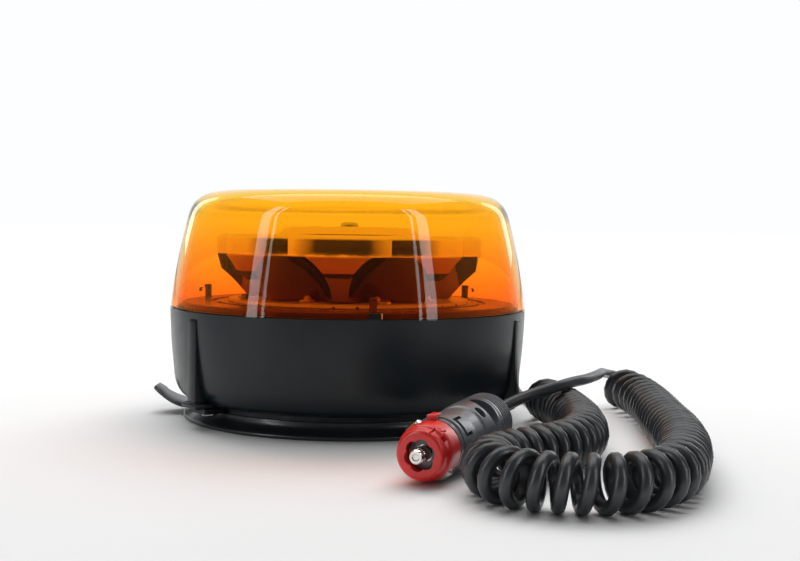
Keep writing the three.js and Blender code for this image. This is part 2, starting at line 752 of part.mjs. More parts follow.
// ------------------------------------------------------------------ assembly
piece('suction_pad', buildPad(), 'rubber');
const tab = piece('release_tab', buildReleaseTab(), 'rubber');
tab.position.set(-tabRootRadius, 0, tabRise);
tab.rotation.z = Math.PI;
piece('magnet_ring', ring(magnetBore, magnetRadius, padFloor, carrierBottom, largeFacets), 'ferrite');
piece('pole_core', disc(poleRadius, padFloor, carrierBottom, mediumFacets), 'steel');
piece('carrier_plate', buildCarrier(), 'steel');
piece('base_housing', buildBase(), 'black');
legAzimuths().forEach((azimuth, i) => {
  const screw = panScrew(legScrewRadius, legScrewLength, legScrewHeadRadius, legScrewHeadHeight);
  screw.rotateX(Math.PI).translate(legScrewPitchRadius, 0, carrierBottom).rotateZ(radians(azimuth));
  piece(`leg_screw_${i + 1}`, screw, 'steel');
});
piece('cable_gland', buildGland(), 'rubber');
piece('gland_nut', buildGlandNut(), 'black');

const driverCut = driverScrewAzimuths().map((azimuth) => post(
  screwRadius + threadGap, driverHeight - 1, driverHeight + 3, driverScrewRadius, azimuth));
piece('driver_board', combine(disc(driverRadius, driverHeight, driverHeight + driverThickness, largeFacets),
  { cut: driverCut }), 'green');
const driverTop = driverHeight + driverThickness;
driverScrewAzimuths().forEach((azimuth, i) => {
  const screw = panScrew(screwRadius, driverScrewLength, screwHeadRadius, screwHeadHeight);
  screw.translate(driverScrewRadius, 0, driverTop).rotateZ(radians(azimuth));
  piece(`driver_screw_${i + 1}`, screw, 'steel');
});
piece('terminal_block', new THREE.BoxGeometry(terminalDepth, terminalLength, terminalHeight)
  .translate(terminalSetback, 0, driverTop + terminalHeight / 2).rotateZ(radians(glandAzimuth)), 'green');
[-1, 1].forEach((side, i) => {
  const can = disc(capacitorRadius, driverTop, driverTop + capacitorHeight, smallFacets);
  piece(`capacitor_${i + 1}`, can.translate(-capacitorSetback, side * (capacitorRadius + 1), 0), 'black');
});
piece('inductor', ring(inductorBore, inductorRadius, driverTop, driverTop + inductorHeight, smallFacets)
  .translate(...inductorPlace, 0), 'copper');

piece('deck', buildDeck(), 'deckBlack');
piece('deck_seal', buildSeal(), 'rubber');
piece('led_board', buildLedBoard(), 'board');
boardScrewAzimuths().forEach((azimuth, i) => {
  const screw = panScrew(screwRadius, boardScrewLength, screwHeadRadius, screwHeadHeight);
  screw.translate(boardScrewRadius, 0, boardTop).rotateZ(radians(azimuth));
  piece(`board_screw_${i + 1}`, screw, 'steel');
});
for (let i = 0; i < hoodCount; i += 1) piece(`led_${i + 1}`, buildLed(i), 'ledYellow');
piece('board_connector', new THREE.BoxGeometry(connectorDepth, connectorLength, connectorHeight)
  .translate(-connectorOffset, 0, boardTop + connectorHeight / 2), 'board');
const wireRoute = [[-connectorOffset, 0, boardTop - gap], [-connectorOffset, 0, deckBottom - 6],
  [-connectorOffset + 4, 4, deckBottom - 14], [-connectorOffset + 5, 5, driverTop + gap]];
piece('led_wire', tube(wireRoute, wireRadius, 6, 8), 'red');
piece('reflector', buildReflector(), 'chrome');
piece('reflector_cap', buildCap(), 'chrome');
const boltTop = capTop + capRaisedHeight;
const nutBottom = deckBottom - capNutHeight;
const bolt = panScrew(capBoltRadius, boltTop - nutBottom + 1, capBoltHeadRadius, capBoltHeadHeight);
piece('cap_bolt', bolt.translate(0, 0, boltTop), 'steel');
piece('cap_nut', hexNut(capBoltRadius + threadGap, capNutRadius, nutBottom, deckBottom), 'steel');
piece('dome_lens', buildDome(), 'amber');
piece('dome_latch', buildLatch(), 'black');

piece('plug_body', buildPlugBody(), 'black', plug);
piece('plug_cap', buildPlugCap(), 'black', plug);
piece('adapter_sleeve', buildSleeve(), 'red', plug);
piece('contact_left', buildContact(contactAzimuth), 'nickel', plug);
piece('contact_right', buildContact(contactAzimuth + 180), 'nickel', plug);
piece('tip_contact', buildTip(), 'nickel', plug);
piece('plug_fuse', disc(fuseRadius, fuseFront - fuseLength, fuseFront, smallFacets), 'glass', plug);
piece('tip_spring', buildSpring(), 'steel', plug);

piece('cord_tail', tube(tailRoute, cordRadius, cordSides, 16), 'rubber');
piece('cord_coil', tube(coilRoute, coilRadius, coilSides, 42), 'rubber');
piece('cord_lead', tube(leadRoute, cordRadius, cordSides, 24), 'rubber');

export default beacon;
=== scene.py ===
"""Visual model of a magnetic flashing beacon with a curly cord and a vehicle socket plug.

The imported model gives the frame.  Shapes are modelled in millimetres in that frame, with +Z up and
the ground at zero, and every finished mesh is scaled to metres.
"""

import json
import logging
import math
from abc import ABC, abstractmethod
from collections.abc import Iterable, Sequence
from dataclasses import dataclass, field
from enum import Enum

import bmesh
import bpy
from mathutils import Matrix, Vector


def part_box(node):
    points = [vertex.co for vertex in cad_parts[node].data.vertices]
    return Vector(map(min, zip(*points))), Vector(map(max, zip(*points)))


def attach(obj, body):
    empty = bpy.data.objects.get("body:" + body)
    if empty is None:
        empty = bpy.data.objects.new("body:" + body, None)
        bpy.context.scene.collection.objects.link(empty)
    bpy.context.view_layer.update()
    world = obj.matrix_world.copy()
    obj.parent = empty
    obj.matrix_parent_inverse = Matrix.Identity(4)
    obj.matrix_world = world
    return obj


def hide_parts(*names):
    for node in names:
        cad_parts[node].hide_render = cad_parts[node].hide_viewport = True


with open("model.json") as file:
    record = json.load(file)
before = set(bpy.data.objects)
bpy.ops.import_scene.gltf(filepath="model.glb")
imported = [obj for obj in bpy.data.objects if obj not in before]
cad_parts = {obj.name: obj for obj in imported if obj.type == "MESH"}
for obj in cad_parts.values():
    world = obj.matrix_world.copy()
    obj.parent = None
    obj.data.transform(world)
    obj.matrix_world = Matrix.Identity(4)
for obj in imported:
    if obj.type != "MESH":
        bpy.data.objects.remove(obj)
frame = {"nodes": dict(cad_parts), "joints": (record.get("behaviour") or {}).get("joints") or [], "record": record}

LOG = logging.getLogger("beacon")
MM = 0.001
MERGE = 1e-4
TURN = 2 * math.pi
Z_AXIS = Vector((0, 0, 1))
Point2 = tuple[float, float]
Point3 = tuple[float, float, float]
Corner = tuple[float, float, float]
Color = tuple[float, float, float]


def box_mm(node: str) -> tuple[Vector, Vector]:
    """Gives a frame node's lowest and highest corners in millimetres."""
    low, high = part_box(node)
    return low / MM, high / MM


# --------------------------------------------------------------------------- outlines
def rounded(corners: Sequence[Corner], segments: int = 4, closed: bool = True) -> list[Point2]:
    """Rounds the corners of an outline.

    Args:
        corners: The outline's corners, each with the length that its round takes off both sides.
        segments: How many steps a round has.
        closed: Whether the last corner is joined to the first.

    Returns:
        The points of the outline.
    """
    count = len(corners)
    points: list[Point2] = []
    for index, (x, y, size) in enumerate(corners):
        here = Vector((x, y))
        inner = closed or 0 < index < count - 1
        if size <= 0 or not inner:
            points.append((x, y))
            continue
        before = Vector(corners[index - 1][:2]) - here
        after = Vector(corners[(index + 1) % count][:2]) - here
        start = here + before.normalized() * min(size, 0.49 * before.length)
        end = here + after.normalized() * min(size, 0.49 * after.length)
        for step in range(segments + 1):
            t = step / segments
            point = (1 - t) ** 2 * start + 2 * t * (1 - t) * here + t ** 2 * end
            points.append((point.x, point.y))
    return points


def bezier(points: Sequence[Point2], count: int) -> list[Point2]:
    """Samples a Bezier curve of any degree, ends included, in `count` steps."""
    degree = len(points) - 1
    samples = []
    for step in range(count + 1):
        t = step / count
        shares = [math.comb(degree, k) * (1 - t) ** (degree - k) * t ** k for k in range(degree + 1)]
        samples.append(tuple(sum(w * p[axis] for w, p in zip(shares, points)) for axis in (0, 1)))
    return samples


def smooth_line(points: Sequence[Vector], per_span: int) -> list[Vector]:
    """Runs a centripetal Catmull-Rom curve through points.

    Args:
        points: The points that the curve goes through.
        per_span: How many samples lie between two of them.

    Returns:
        Points along the curve, both ends included.
    """
    ends = [2 * points[0] - points[1], *points, 2 * points[-1] - points[-2]]
    samples = []
    for p0, p1, p2, p3 in zip(ends, ends[1:], ends[2:], ends[3:]):
        t1 = (p1 - p0).length ** 0.5
        t2 = t1 + (p2 - p1).length ** 0.5
        t3 = t2 + (p3 - p2).length ** 0.5
        for step in range(per_span):
            t = t1 + (t2 - t1) * step / per_span
            a1 = p0.lerp(p1, t / t1)
            a2 = p1.lerp(p2, (t - t1) / (t2 - t1))
            a3 = p2.lerp(p3, (t - t2) / (t3 - t2))
            b1 = a1.lerp(a2, t / t2)
            b2 = a2.lerp(a3, (t - t1) / (t3 - t1))
            samples.append(b1.lerp(b2, (t - t1) / (t2 - t1)))
    return [*samples, points[-1].copy()]


# --------------------------------------------------------------------------- shapes
class Cut(Enum):
    """What a tool shape does to the shape that it meets."""

    AWAY = "DIFFERENCE"
    JOIN = "UNION"


class Shape:
    """A closed mesh in millimetres, shaped with mesh operators."""

    def __init__(self) -> None:
        """Starts with an empty mesh."""
        self.mesh = bmesh.new()

    @classmethod
    def turned(cls, profile: Sequence[Point2], steps: int = 96) -> "Shape":
        """Spins a profile of (radius, height) points about Z.

        Args:
            profile: The profile, which closes on itself unless both its ends are on the axis.
            steps: How many steps the turn has.

        Returns:
            The turned shape.
        """
        shape = cls()
        verts = [shape.mesh.verts.new((radius, 0, height)) for radius, height in profile]
        open_ended = profile[0][0] == 0 and profile[-1][0] == 0
        following = verts[1:] if open_ended else verts[1:] + verts[:1]
        edges = [shape.mesh.edges.new(pair) for pair in zip(verts, following)]
        bmesh.ops.spin(shape.mesh, geom=verts + edges, cent=(0, 0, 0), axis=Z_AXIS,
                       angle=TURN, steps=steps, use_merge=True)
        return shape.cleaned()

    @classmethod
    def prism(cls, outline: Sequence[Point2], bottom: float, top: float) -> "Shape":
        """Raises a flat outline from one height to another."""
        shape = cls()
        face = shape.mesh.faces.new([shape.mesh.verts.new((x, y, bottom)) for x, y in outline])
        raised = bmesh.ops.extrude_face_region(shape.mesh, geom=[face])["geom"]
        moved = [item for item in raised if isinstance(item, bmesh.types.BMVert)]
        bmesh.ops.translate(shape.mesh, verts=moved, vec=(0, 0, top - bottom))
        return shape.cleaned()

    @classmethod
    def rod(cls, radius: float, bottom: float, top: float, steps: int) -> "Shape":
        """Makes a plain cylinder about Z."""
        return cls.turned([(0, bottom), (radius, bottom), (radius, top), (0, top)], steps)

    @classmethod
    def block(cls, low: Sequence[float], high: Sequence[float], edge: float = 0,
              segments: int = 2) -> "Shape":
        """Makes a block between two corners, with its edges rounded by `edge`."""
        shape = cls()
        bmesh.ops.create_cube(shape.mesh, size=1)
        size = Vector(high) - Vector(low)
        middle = (Vector(high) + Vector(low)) / 2
        shape.moved(Matrix.Translation(middle) @ Matrix.Diagonal((*size, 1)))
        return shape.bevelled(edge, segments) if edge else shape

    def cleaned(self) -> "Shape":
        """Merges doubles, drops collapsed faces and turns the faces outwards."""
        bmesh.ops.remove_doubles(self.mesh, verts=self.mesh.verts[:], dist=MERGE)
        bmesh.ops.dissolve_degenerate(self.mesh, edges=self.mesh.edges[:], dist=MERGE / 10)
        bmesh.ops.recalc_face_normals(self.mesh, faces=self.mesh.faces[:])
        return self

    def rounded_at(self, edges: Sequence[bmesh.types.BMEdge], width: float, segments: int) -> "Shape":
        """Rounds the given edges."""
        bmesh.ops.bevel(self.mesh, geom=edges, offset=width, segments=segments, affect="EDGES",
                        profile=0.5, material=-1, clamp_overlap=True)
        return self.cleaned()

    def bevelled(self, width: float, segments: int = 2, above: float = 0.5) -> "Shape":
        """Rounds the edges that turn by more than `above` radians."""
        edges = [e for e in self.mesh.edges if len(e.link_faces) == 2 and e.calc_face_angle() > above]
        return self.rounded_at(edges, width, segments)

    def rim_rounded(self, level: float, width: float, segments: int = 4) -> "Shape":
        """Rounds the edges that lie at one height."""
        edges = [e for e in self.mesh.edges if all(abs(v.co.z - level) < MERGE for v in e.verts)]
        return self.rounded_at(edges, width, segments)

    def moved(self, matrix: Matrix) -> "Shape":
        """Moves the whole shape by a matrix."""
        bmesh.ops.transform(self.mesh, matrix=matrix, verts=self.mesh.verts[:])
        return self

    def set_out(self, x: float = 0, y: float = 0, z: float = 0, azimuth: float = 0) -> "Shape":
        """Moves the shape along X, Y and Z, then turns it about Z to an azimuth in degrees."""
        return self.moved(Matrix.Rotation(math.radians(azimuth), 4, "Z") @ Matrix.Translation((x, y, z)))

    def tipped(self) -> "Shape":
        """Lays the shape over, so that its +Z points along +X."""
        return self.moved(Matrix.Rotation(math.pi / 2, 4, "Y"))

    def stood_up(self) -> "Shape":
        """Stands the shape up, so that its +Y points along +Z."""
        return self.moved(Matrix.Rotation(math.pi / 2, 4, "X"))

    def plain_object(self, name: str) -> bpy.types.Object:
        """Puts the mesh in an object, in millimetres, for a modifier to work on."""
        data = bpy.data.meshes.new(name)
        self.mesh.to_mesh(data)
        made = bpy.data.objects.new(name, data)
        bpy.context.scene.collection.objects.link(made)
        return made

    def with_tools(self, tools: Iterable["Shape"], cut: Cut) -> "Shape":
        """Cuts tools away from the shape, or joins them to it, one after another."""
        for tool in tools:
            work, other = self.plain_object("work"), tool.plain_object("tool")
            modifier = work.modifiers.new("cut", "BOOLEAN")
            modifier.operation = cut.value
            modifier.solver = "EXACT"
            modifier.object = other
            result = work.evaluated_get(bpy.context.evaluated_depsgraph_get())
            self.mesh.clear()
            self.mesh.from_mesh(result.to_mesh())
            result.to_mesh_clear()
            for done in (work, other):
                data = done.data
                bpy.data.objects.remove(done)
                bpy.data.meshes.remove(data)
        return self

    def minus(self, *tools: "Shape") -> "Shape":
        """Cuts the tools away."""
        return self.with_tools(tools, Cut.AWAY)

    def plus(self, *tools: "Shape") -> "Shape":
        """Joins the tools on."""
        return self.with_tools(tools, Cut.JOIN)

    def object(self, name: str, crease: float = 30) -> bpy.types.Object:
        """Makes the finished object in metres.

        Args:
            name: The piece's name.
            crease: Edges that turn by more than this many degrees stay sharp.

        Returns:
            The object, at the origin.
        """
        limit = math.radians(crease)
        for face in self.mesh.faces:
            face.smooth = True
        for edge in self.mesh.edges:
            edge.smooth = len(edge.link_faces) == 2 and edge.calc_face_angle() < limit
        self.moved(Matrix.Scale(MM, 4))
        made = self.plain_object(name)
        made.data.name = name
        self.mesh.free()
        return made


# --------------------------------------------------------------------------- shader maths
class Signal:
    """An output of a material node, with arithmetic that adds nodes."""

    def __init__(self, bench: "Bench", socket: bpy.types.NodeSocket) -> None:
        """Keeps the socket and the bench that it is on."""
        self.bench = bench
        self.socket = socket

    def sums(self, operation: str, first: "Signal | float", second: "Signal | float") -> "Signal":
        """Adds one Math node."""
        return self.bench.node("ShaderNodeMath", {"operation": operation}, {0: first, 1: second})

    def __add__(self, other: "Signal | float") -> "Signal":
        """Adds."""
        return self.sums("ADD", self, other)

    __radd__ = __add__

    def __sub__(self, other: "Signal | float") -> "Signal":
        """Subtracts."""
        return self.sums("SUBTRACT", self, other)

    def __rsub__(self, other: float) -> "Signal":
        """Subtracts from a number."""
        return self.sums("SUBTRACT", other, self)

    def __mul__(self, other: "Signal | float") -> "Signal":
        """Multiplies."""
        return self.sums("MULTIPLY", self, other)

    __rmul__ = __mul__

    def over(self, low: float, high: float, start: float = 0, end: float = 1) -> "Signal":
        """Maps the range from low to high onto start to end, and clamps it."""
        return self.bench.node("ShaderNodeMapRange", {"clamp": True}, {
            "Value": self, "From Min": low, "From Max": high, "To Min": start, "To Max": end})


class Bench:
    """A material, or a world, under construction."""

    def __init__(self, name: str, world: bool = False) -> None:
        """Starts an empty node tree with its output."""
        self.owner = bpy.data.worlds.new(name) if world else bpy.data.materials.new(name)
        self.owner.use_nodes = True
        self.tree = self.owner.node_tree
        self.tree.nodes.clear()
        self.result = self.tree.nodes.new(f"ShaderNodeOutput{'World' if world else 'Material'}")

    def node(self, kind: str, settings: dict | None = None, sockets: dict | None = None,
             output: int | str = 0) -> Signal:
        """Adds a node.

        Args:
            kind: The node's type.
            settings: Its properties.
            sockets: A value or a signal for each named or numbered input.
            output: Which of its outputs to give back.

        Returns:
            The output.
        """
        made = self.tree.nodes.new(kind)
        for name, value in (settings or {}).items():
            setattr(made, name, value)
        for name, value in (sockets or {}).items():
            if isinstance(value, Signal):
                self.tree.links.new(value.socket, made.inputs[name])
            else:
                made.inputs[name].default_value = value
        return Signal(self, made.outputs[output])

    def place(self) -> Signal:
        """Gives the object coordinates."""
        return self.node("ShaderNodeTexCoord", output="Object")

    def height(self) -> Signal:
        """Gives the height above the ground, in metres."""
        return self.node("ShaderNodeSeparateXYZ", {}, {"Vector": self.place()}, "Z")

    def noise(self, scale: float, detail: float = 3, stretch: Point3 | None = None) -> Signal:
        """Gives noise of `scale` cells in a metre, stretched along an axis where asked."""
        place = self.place()
        if stretch:
            place = self.node("ShaderNodeMapping", {}, {"Vector": place, "Scale": stretch})
        return self.node("ShaderNodeTexNoise", {}, {
            "Vector": place, "Scale": scale, "Detail": detail, "Roughness": 0.55}, "Fac")

    def blend(self, share: Signal | float, first: Signal | Color, second: Signal | Color) -> Signal:
        """Mixes two colours."""
        colors = {key: value if isinstance(value, Signal) else (*value, 1)
                  for key, value in ((6, first), (7, second))}
        return self.node("ShaderNodeMix", {"data_type": "RGBA"}, {0: share, **colors}, 2)

    def bump(self, height: Signal, depth: float, strength: float = 1) -> Signal:
        """Turns a height pattern into a normal; depth is in metres."""
        return self.node("ShaderNodeBump", {}, {"Height": height, "Distance": depth, "Strength": strength})

    def surface(self, color: Signal | Color, roughness: Signal | float, **sockets: object) -> Signal:
        """Adds the main shader; other sockets are named with underscores for spaces."""
        named = {key.replace("_", " "): value for key, value in sockets.items()}
        base = color if isinstance(color, Signal) else (*color, 1)
        return self.node("ShaderNodeBsdfPrincipled", {}, {
            "Base Color": base, "Roughness": roughness, **named})

    def mixed(self, share: Signal, first: Signal, second: Signal) -> Signal:
        """Mixes two shaders."""
        return self.node("ShaderNodeMixShader", {}, {0: share, 1: first, 2: second})

    def ray(self, kind: str) -> Signal:
        """Tells whether a ray is of one kind, such as Camera."""
        return self.node("ShaderNodeLightPath", output=f"Is {kind} Ray")

    def lets_lamps_through(self, glass: Signal, tint: Color) -> Signal:
        """Lets lamp light pass a glass shader with only a tint."""
        clear = self.node("ShaderNodeBsdfTransparent", {}, {"Color": (*tint, 1)})
        return self.mixed(self.ray("Shadow"), glass, clear)

    def finish(self, shader: Signal) -> bpy.types.Material | bpy.types.World:
        """Sends a shader to the output and gives the material or world."""
        self.tree.links.new(shader.socket, self.result.inputs["Surface"])
        return self.owner


# --------------------------------------------------------------------------- finishes
def scaled(color: Color, factor: float) -> Color:
    """Gives a colour times a factor."""
    return tuple(channel * factor for channel in color)


class Finish(ABC):
    """What a piece is made of and how its surface looks."""

    @abstractmethod
    def shade(self, bench: Bench) -> Signal:
        """Lays the nodes out and gives the shader."""

    def material(self, name: str) -> bpy.types.Material:
        """Builds the material."""
        bench = Bench(name)
        return bench.finish(self.shade(bench))


class Grain(Enum):
    """How coarse a moulded surface is, in cells to the metre."""

    POLISHED = 350
    SATIN = 800
    TEXTURED = 1700


@dataclass(frozen=True)
class Moulding(Finish):
    """Moulded plastic or rubber: cloudy tone, a fine grain and rubbed patches."""

    color: Color
    roughness: float = 0.42
    grain: Grain = Grain.SATIN
    depth: float = 0.00001
    coat: float = 0.0
    specular: float = 0.5
    cloud_cells: float = 28
    rub_cells: float = 90

    def shade(self, bench: Bench) -> Signal:
        """Lays the nodes out and gives the shader."""
        cloud = bench.noise(self.cloud_cells, 4)
        grain = bench.noise(self.grain.value, 4)
        rubbed = bench.noise(self.rub_cells, 6).over(0.42, 0.68)
        pale = tuple(min(1, channel * 1.3 + 0.001) for channel in self.color)
        color = bench.blend(cloud.over(0.3, 0.7) * 0.75 + grain * 0.25, scaled(self.color, 0.72), pale)
        roughness = self.roughness + rubbed * 0.06 + grain * 0.04 - 0.03
        normal = bench.bump(grain + cloud * 0.3, self.depth, 0.6)
        return bench.surface(
            color, roughness, Normal=normal, Coat_Weight=self.coat, Coat_Roughness=0.12,
            Specular_IOR_Level=self.specular)


@dataclass(frozen=True)
class Metal(Finish):
    """Bare or plated metal with draw marks and handling smudges."""

    color: Color
    roughness: float = 0.25
    marks: Point3 = (1, 1, 14)
    depth: float = 0.00001
    mark_cells: float = 260
    smudge_cells: float = 70

    def shade(self, bench: Bench) -> Signal:
        """Lays the nodes out and gives the shader."""
        drawn = bench.noise(self.mark_cells, 3, self.marks)
        smudge = bench.noise(self.smudge_cells, 5)
        color = bench.blend(smudge.over(0.35, 0.7), self.color, scaled(self.color, 0.8))
        roughness = self.roughness + drawn * 0.08 + smudge.over(0.4, 0.75, 0, 0.12) - 0.04
        normal = bench.bump(drawn, self.depth, 0.5)
        return bench.surface(color, roughness, Metallic=1.0, Normal=normal)


@dataclass(frozen=True)
class Mirror(Finish):
    """Metallised plastic: a soft mirror with faint waves and dull specks; below a level its colour is painted
    shade and painted red reflection.
    """

    # The hood colour is painted shade and painted red reflection of the dome, not the mirror's own colour.
    hood_shade_color: Color
    cap_color: Color
    level: float = 0.0752
    fade: float = 0.0006
    roughness: float = 0.07
    wave_cells: float = 85
    speck_cells: float = 900

    def shade(self, bench: Bench) -> Signal:
        """Lays the nodes out and gives the shader."""
        wave = bench.noise(self.wave_cells, 2)
        speck = bench.noise(self.speck_cells, 5).over(0.62, 0.75)
        # Below the level the mirror takes the hood colour, which is painted shade and painted red reflection;
        # above it the cap keeps the plain mirror colour.
        above = bench.height().over(self.level, self.level + self.fade)
        clean = bench.blend(above, self.hood_shade_color, self.cap_color)
        color = bench.blend(speck * 0.5, clean, scaled(self.hood_shade_color, 0.5))
        roughness = self.roughness + speck * 0.2 + wave * 0.04
        return bench.surface(color, roughness, Metallic=1.0, Normal=bench.bump(wave, 0.0003, 0.35))


@dataclass(frozen=True)
class ClearAmber(Finish):
    """Polished amber plastic that lets lamps shine through, with painted shade that makes it redder and darker
    towards the rim.
    """

    crown: Color = (0.99, 0.62, 0.075)
    # The rim colour is painted shade: a redder, darker tone low on the dome.
    rim: Color = (0.985, 0.255, 0.042)
    rim_height: float = 0.050
    crown_height: float = 0.094
    lamp_tint: Color = (1.0, 0.66, 0.14)
    index: float = 1.36
    flow_cells: float = 22
    haze_cells: float = 240

    def shade(self, bench: Bench) -> Signal:
        """Lays the nodes out and gives the shader."""
        flow = bench.noise(self.flow_cells, 3)
        # Painted shade: the colour runs from the rim's redder, darker tone up to the crown's plain tint.
        level = (bench.height() + flow * 0.008).over(self.rim_height, self.crown_height)
        color = bench.blend(level, self.rim, self.crown)
        haze = bench.noise(self.haze_cells, 5).over(0.5, 0.8, 0, 0.03)
        normal = bench.bump(flow, 0.0005, 0.2)
        glass = bench.surface(color, haze + 0.015, Transmission_Weight=1.0, IOR=self.index, Normal=normal)
        return bench.lets_lamps_through(glass, self.lamp_tint)


@dataclass(frozen=True)
class ClearGlass(Finish):
    """Clear glass with a faint green edge and fine scratches."""

    color: Color = (0.86, 0.92, 0.9)
    index: float = 1.46
    scratch_cells: float = 600

    def shade(self, bench: Bench) -> Signal:
        """Lays the nodes out and gives the shader."""
        scratch = bench.noise(self.scratch_cells, 5, (1, 1, 6)).over(0.6, 0.8)
        color = bench.blend(bench.noise(60), self.color, scaled(self.color, 0.95))
        glass = bench.surface(color, scratch * 0.15 + 0.02, Transmission_Weight=1.0, IOR=self.index)
        return bench.lets_lamps_through(glass, self.color)


@dataclass(frozen=True)
class Laminate(Finish):
    """Circuit board: solder mask with rows of small pads and glass weave under it."""

    color: Color
    pad: Color = (0.35, 0.3, 0.2)
    pads_per_metre: float = 210
    pad_size: float = 0.17
    weave_bands: float = 320

    def shade(self, bench: Bench) -> Signal:
        """Lays the nodes out and gives the shader."""
        cells = bench.node("ShaderNodeTexVoronoi", {}, {
            "Vector": bench.place(), "Scale": self.pads_per_metre, "Randomness": 0.35}, "Distance")
        pads = cells.over(self.pad_size, self.pad_size * 0.75)
        weave = bench.node("ShaderNodeTexWave", {"bands_direction": "DIAGONAL"}, {
            "Vector": bench.place(), "Scale": self.weave_bands, "Distortion": 1.5}, "Fac")
        tone = bench.blend(bench.noise(45, 4), self.color, scaled(self.color, 0.82))
        color = bench.blend(pads, tone, self.pad)
        normal = bench.bump(pads + weave * 0.15, 0.00006, 0.7)
        return bench.surface(color, 0.24 - pads * 0.08, Metallic=pads * 0.7, Normal=normal)


@dataclass(frozen=True)
class Ferrite(Finish):
    """Sintered magnet: dark, dull and finely pitted."""

    color: Color
    pit_cells: float = 900

    def shade(self, bench: Bench) -> Signal:
        """Lays the nodes out and gives the shader."""
        pits = bench.node("ShaderNodeTexVoronoi", {}, {
            "Vector": bench.place(), "Scale": self.pit_cells}, "Distance")
        color = bench.blend(bench.noise(120, 5), self.color, scaled(self.color, 1.7))
        return bench.surface(color, pits * 0.2 + 0.6, Normal=bench.bump(pits, 0.0001, 0.6))


@dataclass(frozen=True)
class Phosphor(Finish):
    """Cast phosphor under a small clear lens."""

    color: Color
    speck_cells: float = 2600

    def shade(self, bench: Bench) -> Signal:
        """Lays the nodes out and gives the shader."""
        speck = bench.noise(self.speck_cells, 4)
        color = bench.blend(speck, self.color, scaled(self.color, 0.8))
        return bench.surface(color, speck * 0.1 + 0.15, Coat_Weight=1.0, Coat_Roughness=0.03,
                             Normal=bench.bump(speck, 0.00003, 0.5))


@dataclass(frozen=True)
class Jacket(Finish):
    """Satin polyurethane cord jacket with extrusion streaks and a dusting in patches."""

    color: Color
    dust: Color = (0.05, 0.053, 0.058)
    roughness: float = 0.38
    streak_cells: float = 420
    dust_cells: float = 75

    def shade(self, bench: Bench) -> Signal:
        """Lays the nodes out and gives the shader."""
        streak = bench.noise(self.streak_cells, 4)
        dusty = bench.noise(self.dust_cells, 5).over(0.5, 0.8)
        color = bench.blend(dusty * 0.35, self.color, self.dust)
        roughness = self.roughness + streak * 0.12 + dusty * 0.1 - 0.04
        normal = bench.bump(streak, 0.00001, 0.3)
        return bench.surface(
            color, roughness, Normal=normal, Coat_Weight=0.2, Coat_Roughness=0.2, Specular_IOR_Level=0.6)


@dataclass(frozen=True)
class StudioFloor(Finish):
    """Pale matt sweep that runs out to plain white between two distances from the object."""

    color: Color = (0.86, 0.86, 0.86)
    near: float = 0.3
    far: float = 0.9
    seen_glow: Color = (1, 1, 1)
    passed_glow: Color = (1.45, 1.45, 1.45)

    def shade(self, bench: Bench) -> Signal:
        """Lays the nodes out and gives the shader."""
        tooth = bench.noise(500, 3)
        color = bench.blend(tooth, self.color, scaled(self.color, 0.985))
        paper = bench.surface(color, 0.6, Normal=bench.bump(tooth, 0.00002, 0.3), Specular_IOR_Level=0.2)
        reach = bench.node("ShaderNodeVectorMath", {"operation": "LENGTH"}, {0: bench.place()}, "Value")
        through = bench.ray("Transmission")
        share = (bench.ray("Camera") + through).over(0, 1) * reach.over(self.near, self.far)
        glow = bench.blend(through, self.seen_glow, self.passed_glow)
        white = bench.node("ShaderNodeEmission", {}, {"Color": glow, "Strength": 1})
        return bench.mixed(share, paper, white)


FINISHES: dict[str, Finish] = {
    "amber_polycarbonate": ClearAmber(),
    "black_housing": Moulding((0.0055, 0.0115, 0.0145), 0.3, specular=0.34),
    "deck_plastic": Moulding((0.09, 0.042, 0.034), 0.22, Grain.POLISHED),
    "latch_plastic": Moulding((0.004, 0.004, 0.005), 0.5, specular=0.25),
    "pad_rubber": Moulding((0.022, 0.028, 0.034), 0.36, Grain.POLISHED, coat=0.25),
    "seal_rubber": Moulding((0.015, 0.015, 0.015), 0.6),
    "ferrite": Ferrite((0.05, 0.05, 0.055)),
    "steel": Metal((0.035, 0.036, 0.04), 0.42),
    "screw_steel": Metal((0.56, 0.57, 0.58), 0.28),
    "white_laminate": Laminate((0.93, 0.91, 0.86)),
    "green_laminate": Laminate((0.02, 0.12, 0.05), pad=(0.6, 0.55, 0.4)),
    "green_plastic": Moulding((0.03, 0.2, 0.08), 0.4),
    "white_plastic": Moulding((0.72, 0.7, 0.64), 0.4),
    "capacitor_sleeve": Moulding((0.02, 0.02, 0.035), 0.2, Grain.POLISHED),
    "copper_winding": Metal((0.7, 0.3, 0.12), 0.3, (14, 14, 1)),
    "led_phosphor": Phosphor((0.9, 0.68, 0.1)),
    "wire_insulation": Moulding((0.4, 0.01, 0.012), 0.35, Grain.POLISHED),
    # chrome_reflector: the first colour is the hoods' painted shade and painted red reflection, the second is the
    # cap's mirror colour.
    "chrome_reflector": Mirror((0.36, 0.17, 0.18), (0.85, 0.72, 0.62)),
    "red_collar": Moulding((0.86, 0.018, 0.018), 0.3, Grain.SATIN, coat=0.25),
    "plug_plastic": Moulding((0.12, 0.128, 0.146), 0.3, Grain.TEXTURED, 0.00004, coat=0.3, specular=0.7),
    "nickel_contact": Metal((0.82, 0.8, 0.76), 0.12),
    "fuse_glass": ClearGlass(),
    "cord_polyurethane": Jacket((0.02, 0.023, 0.027)),
}


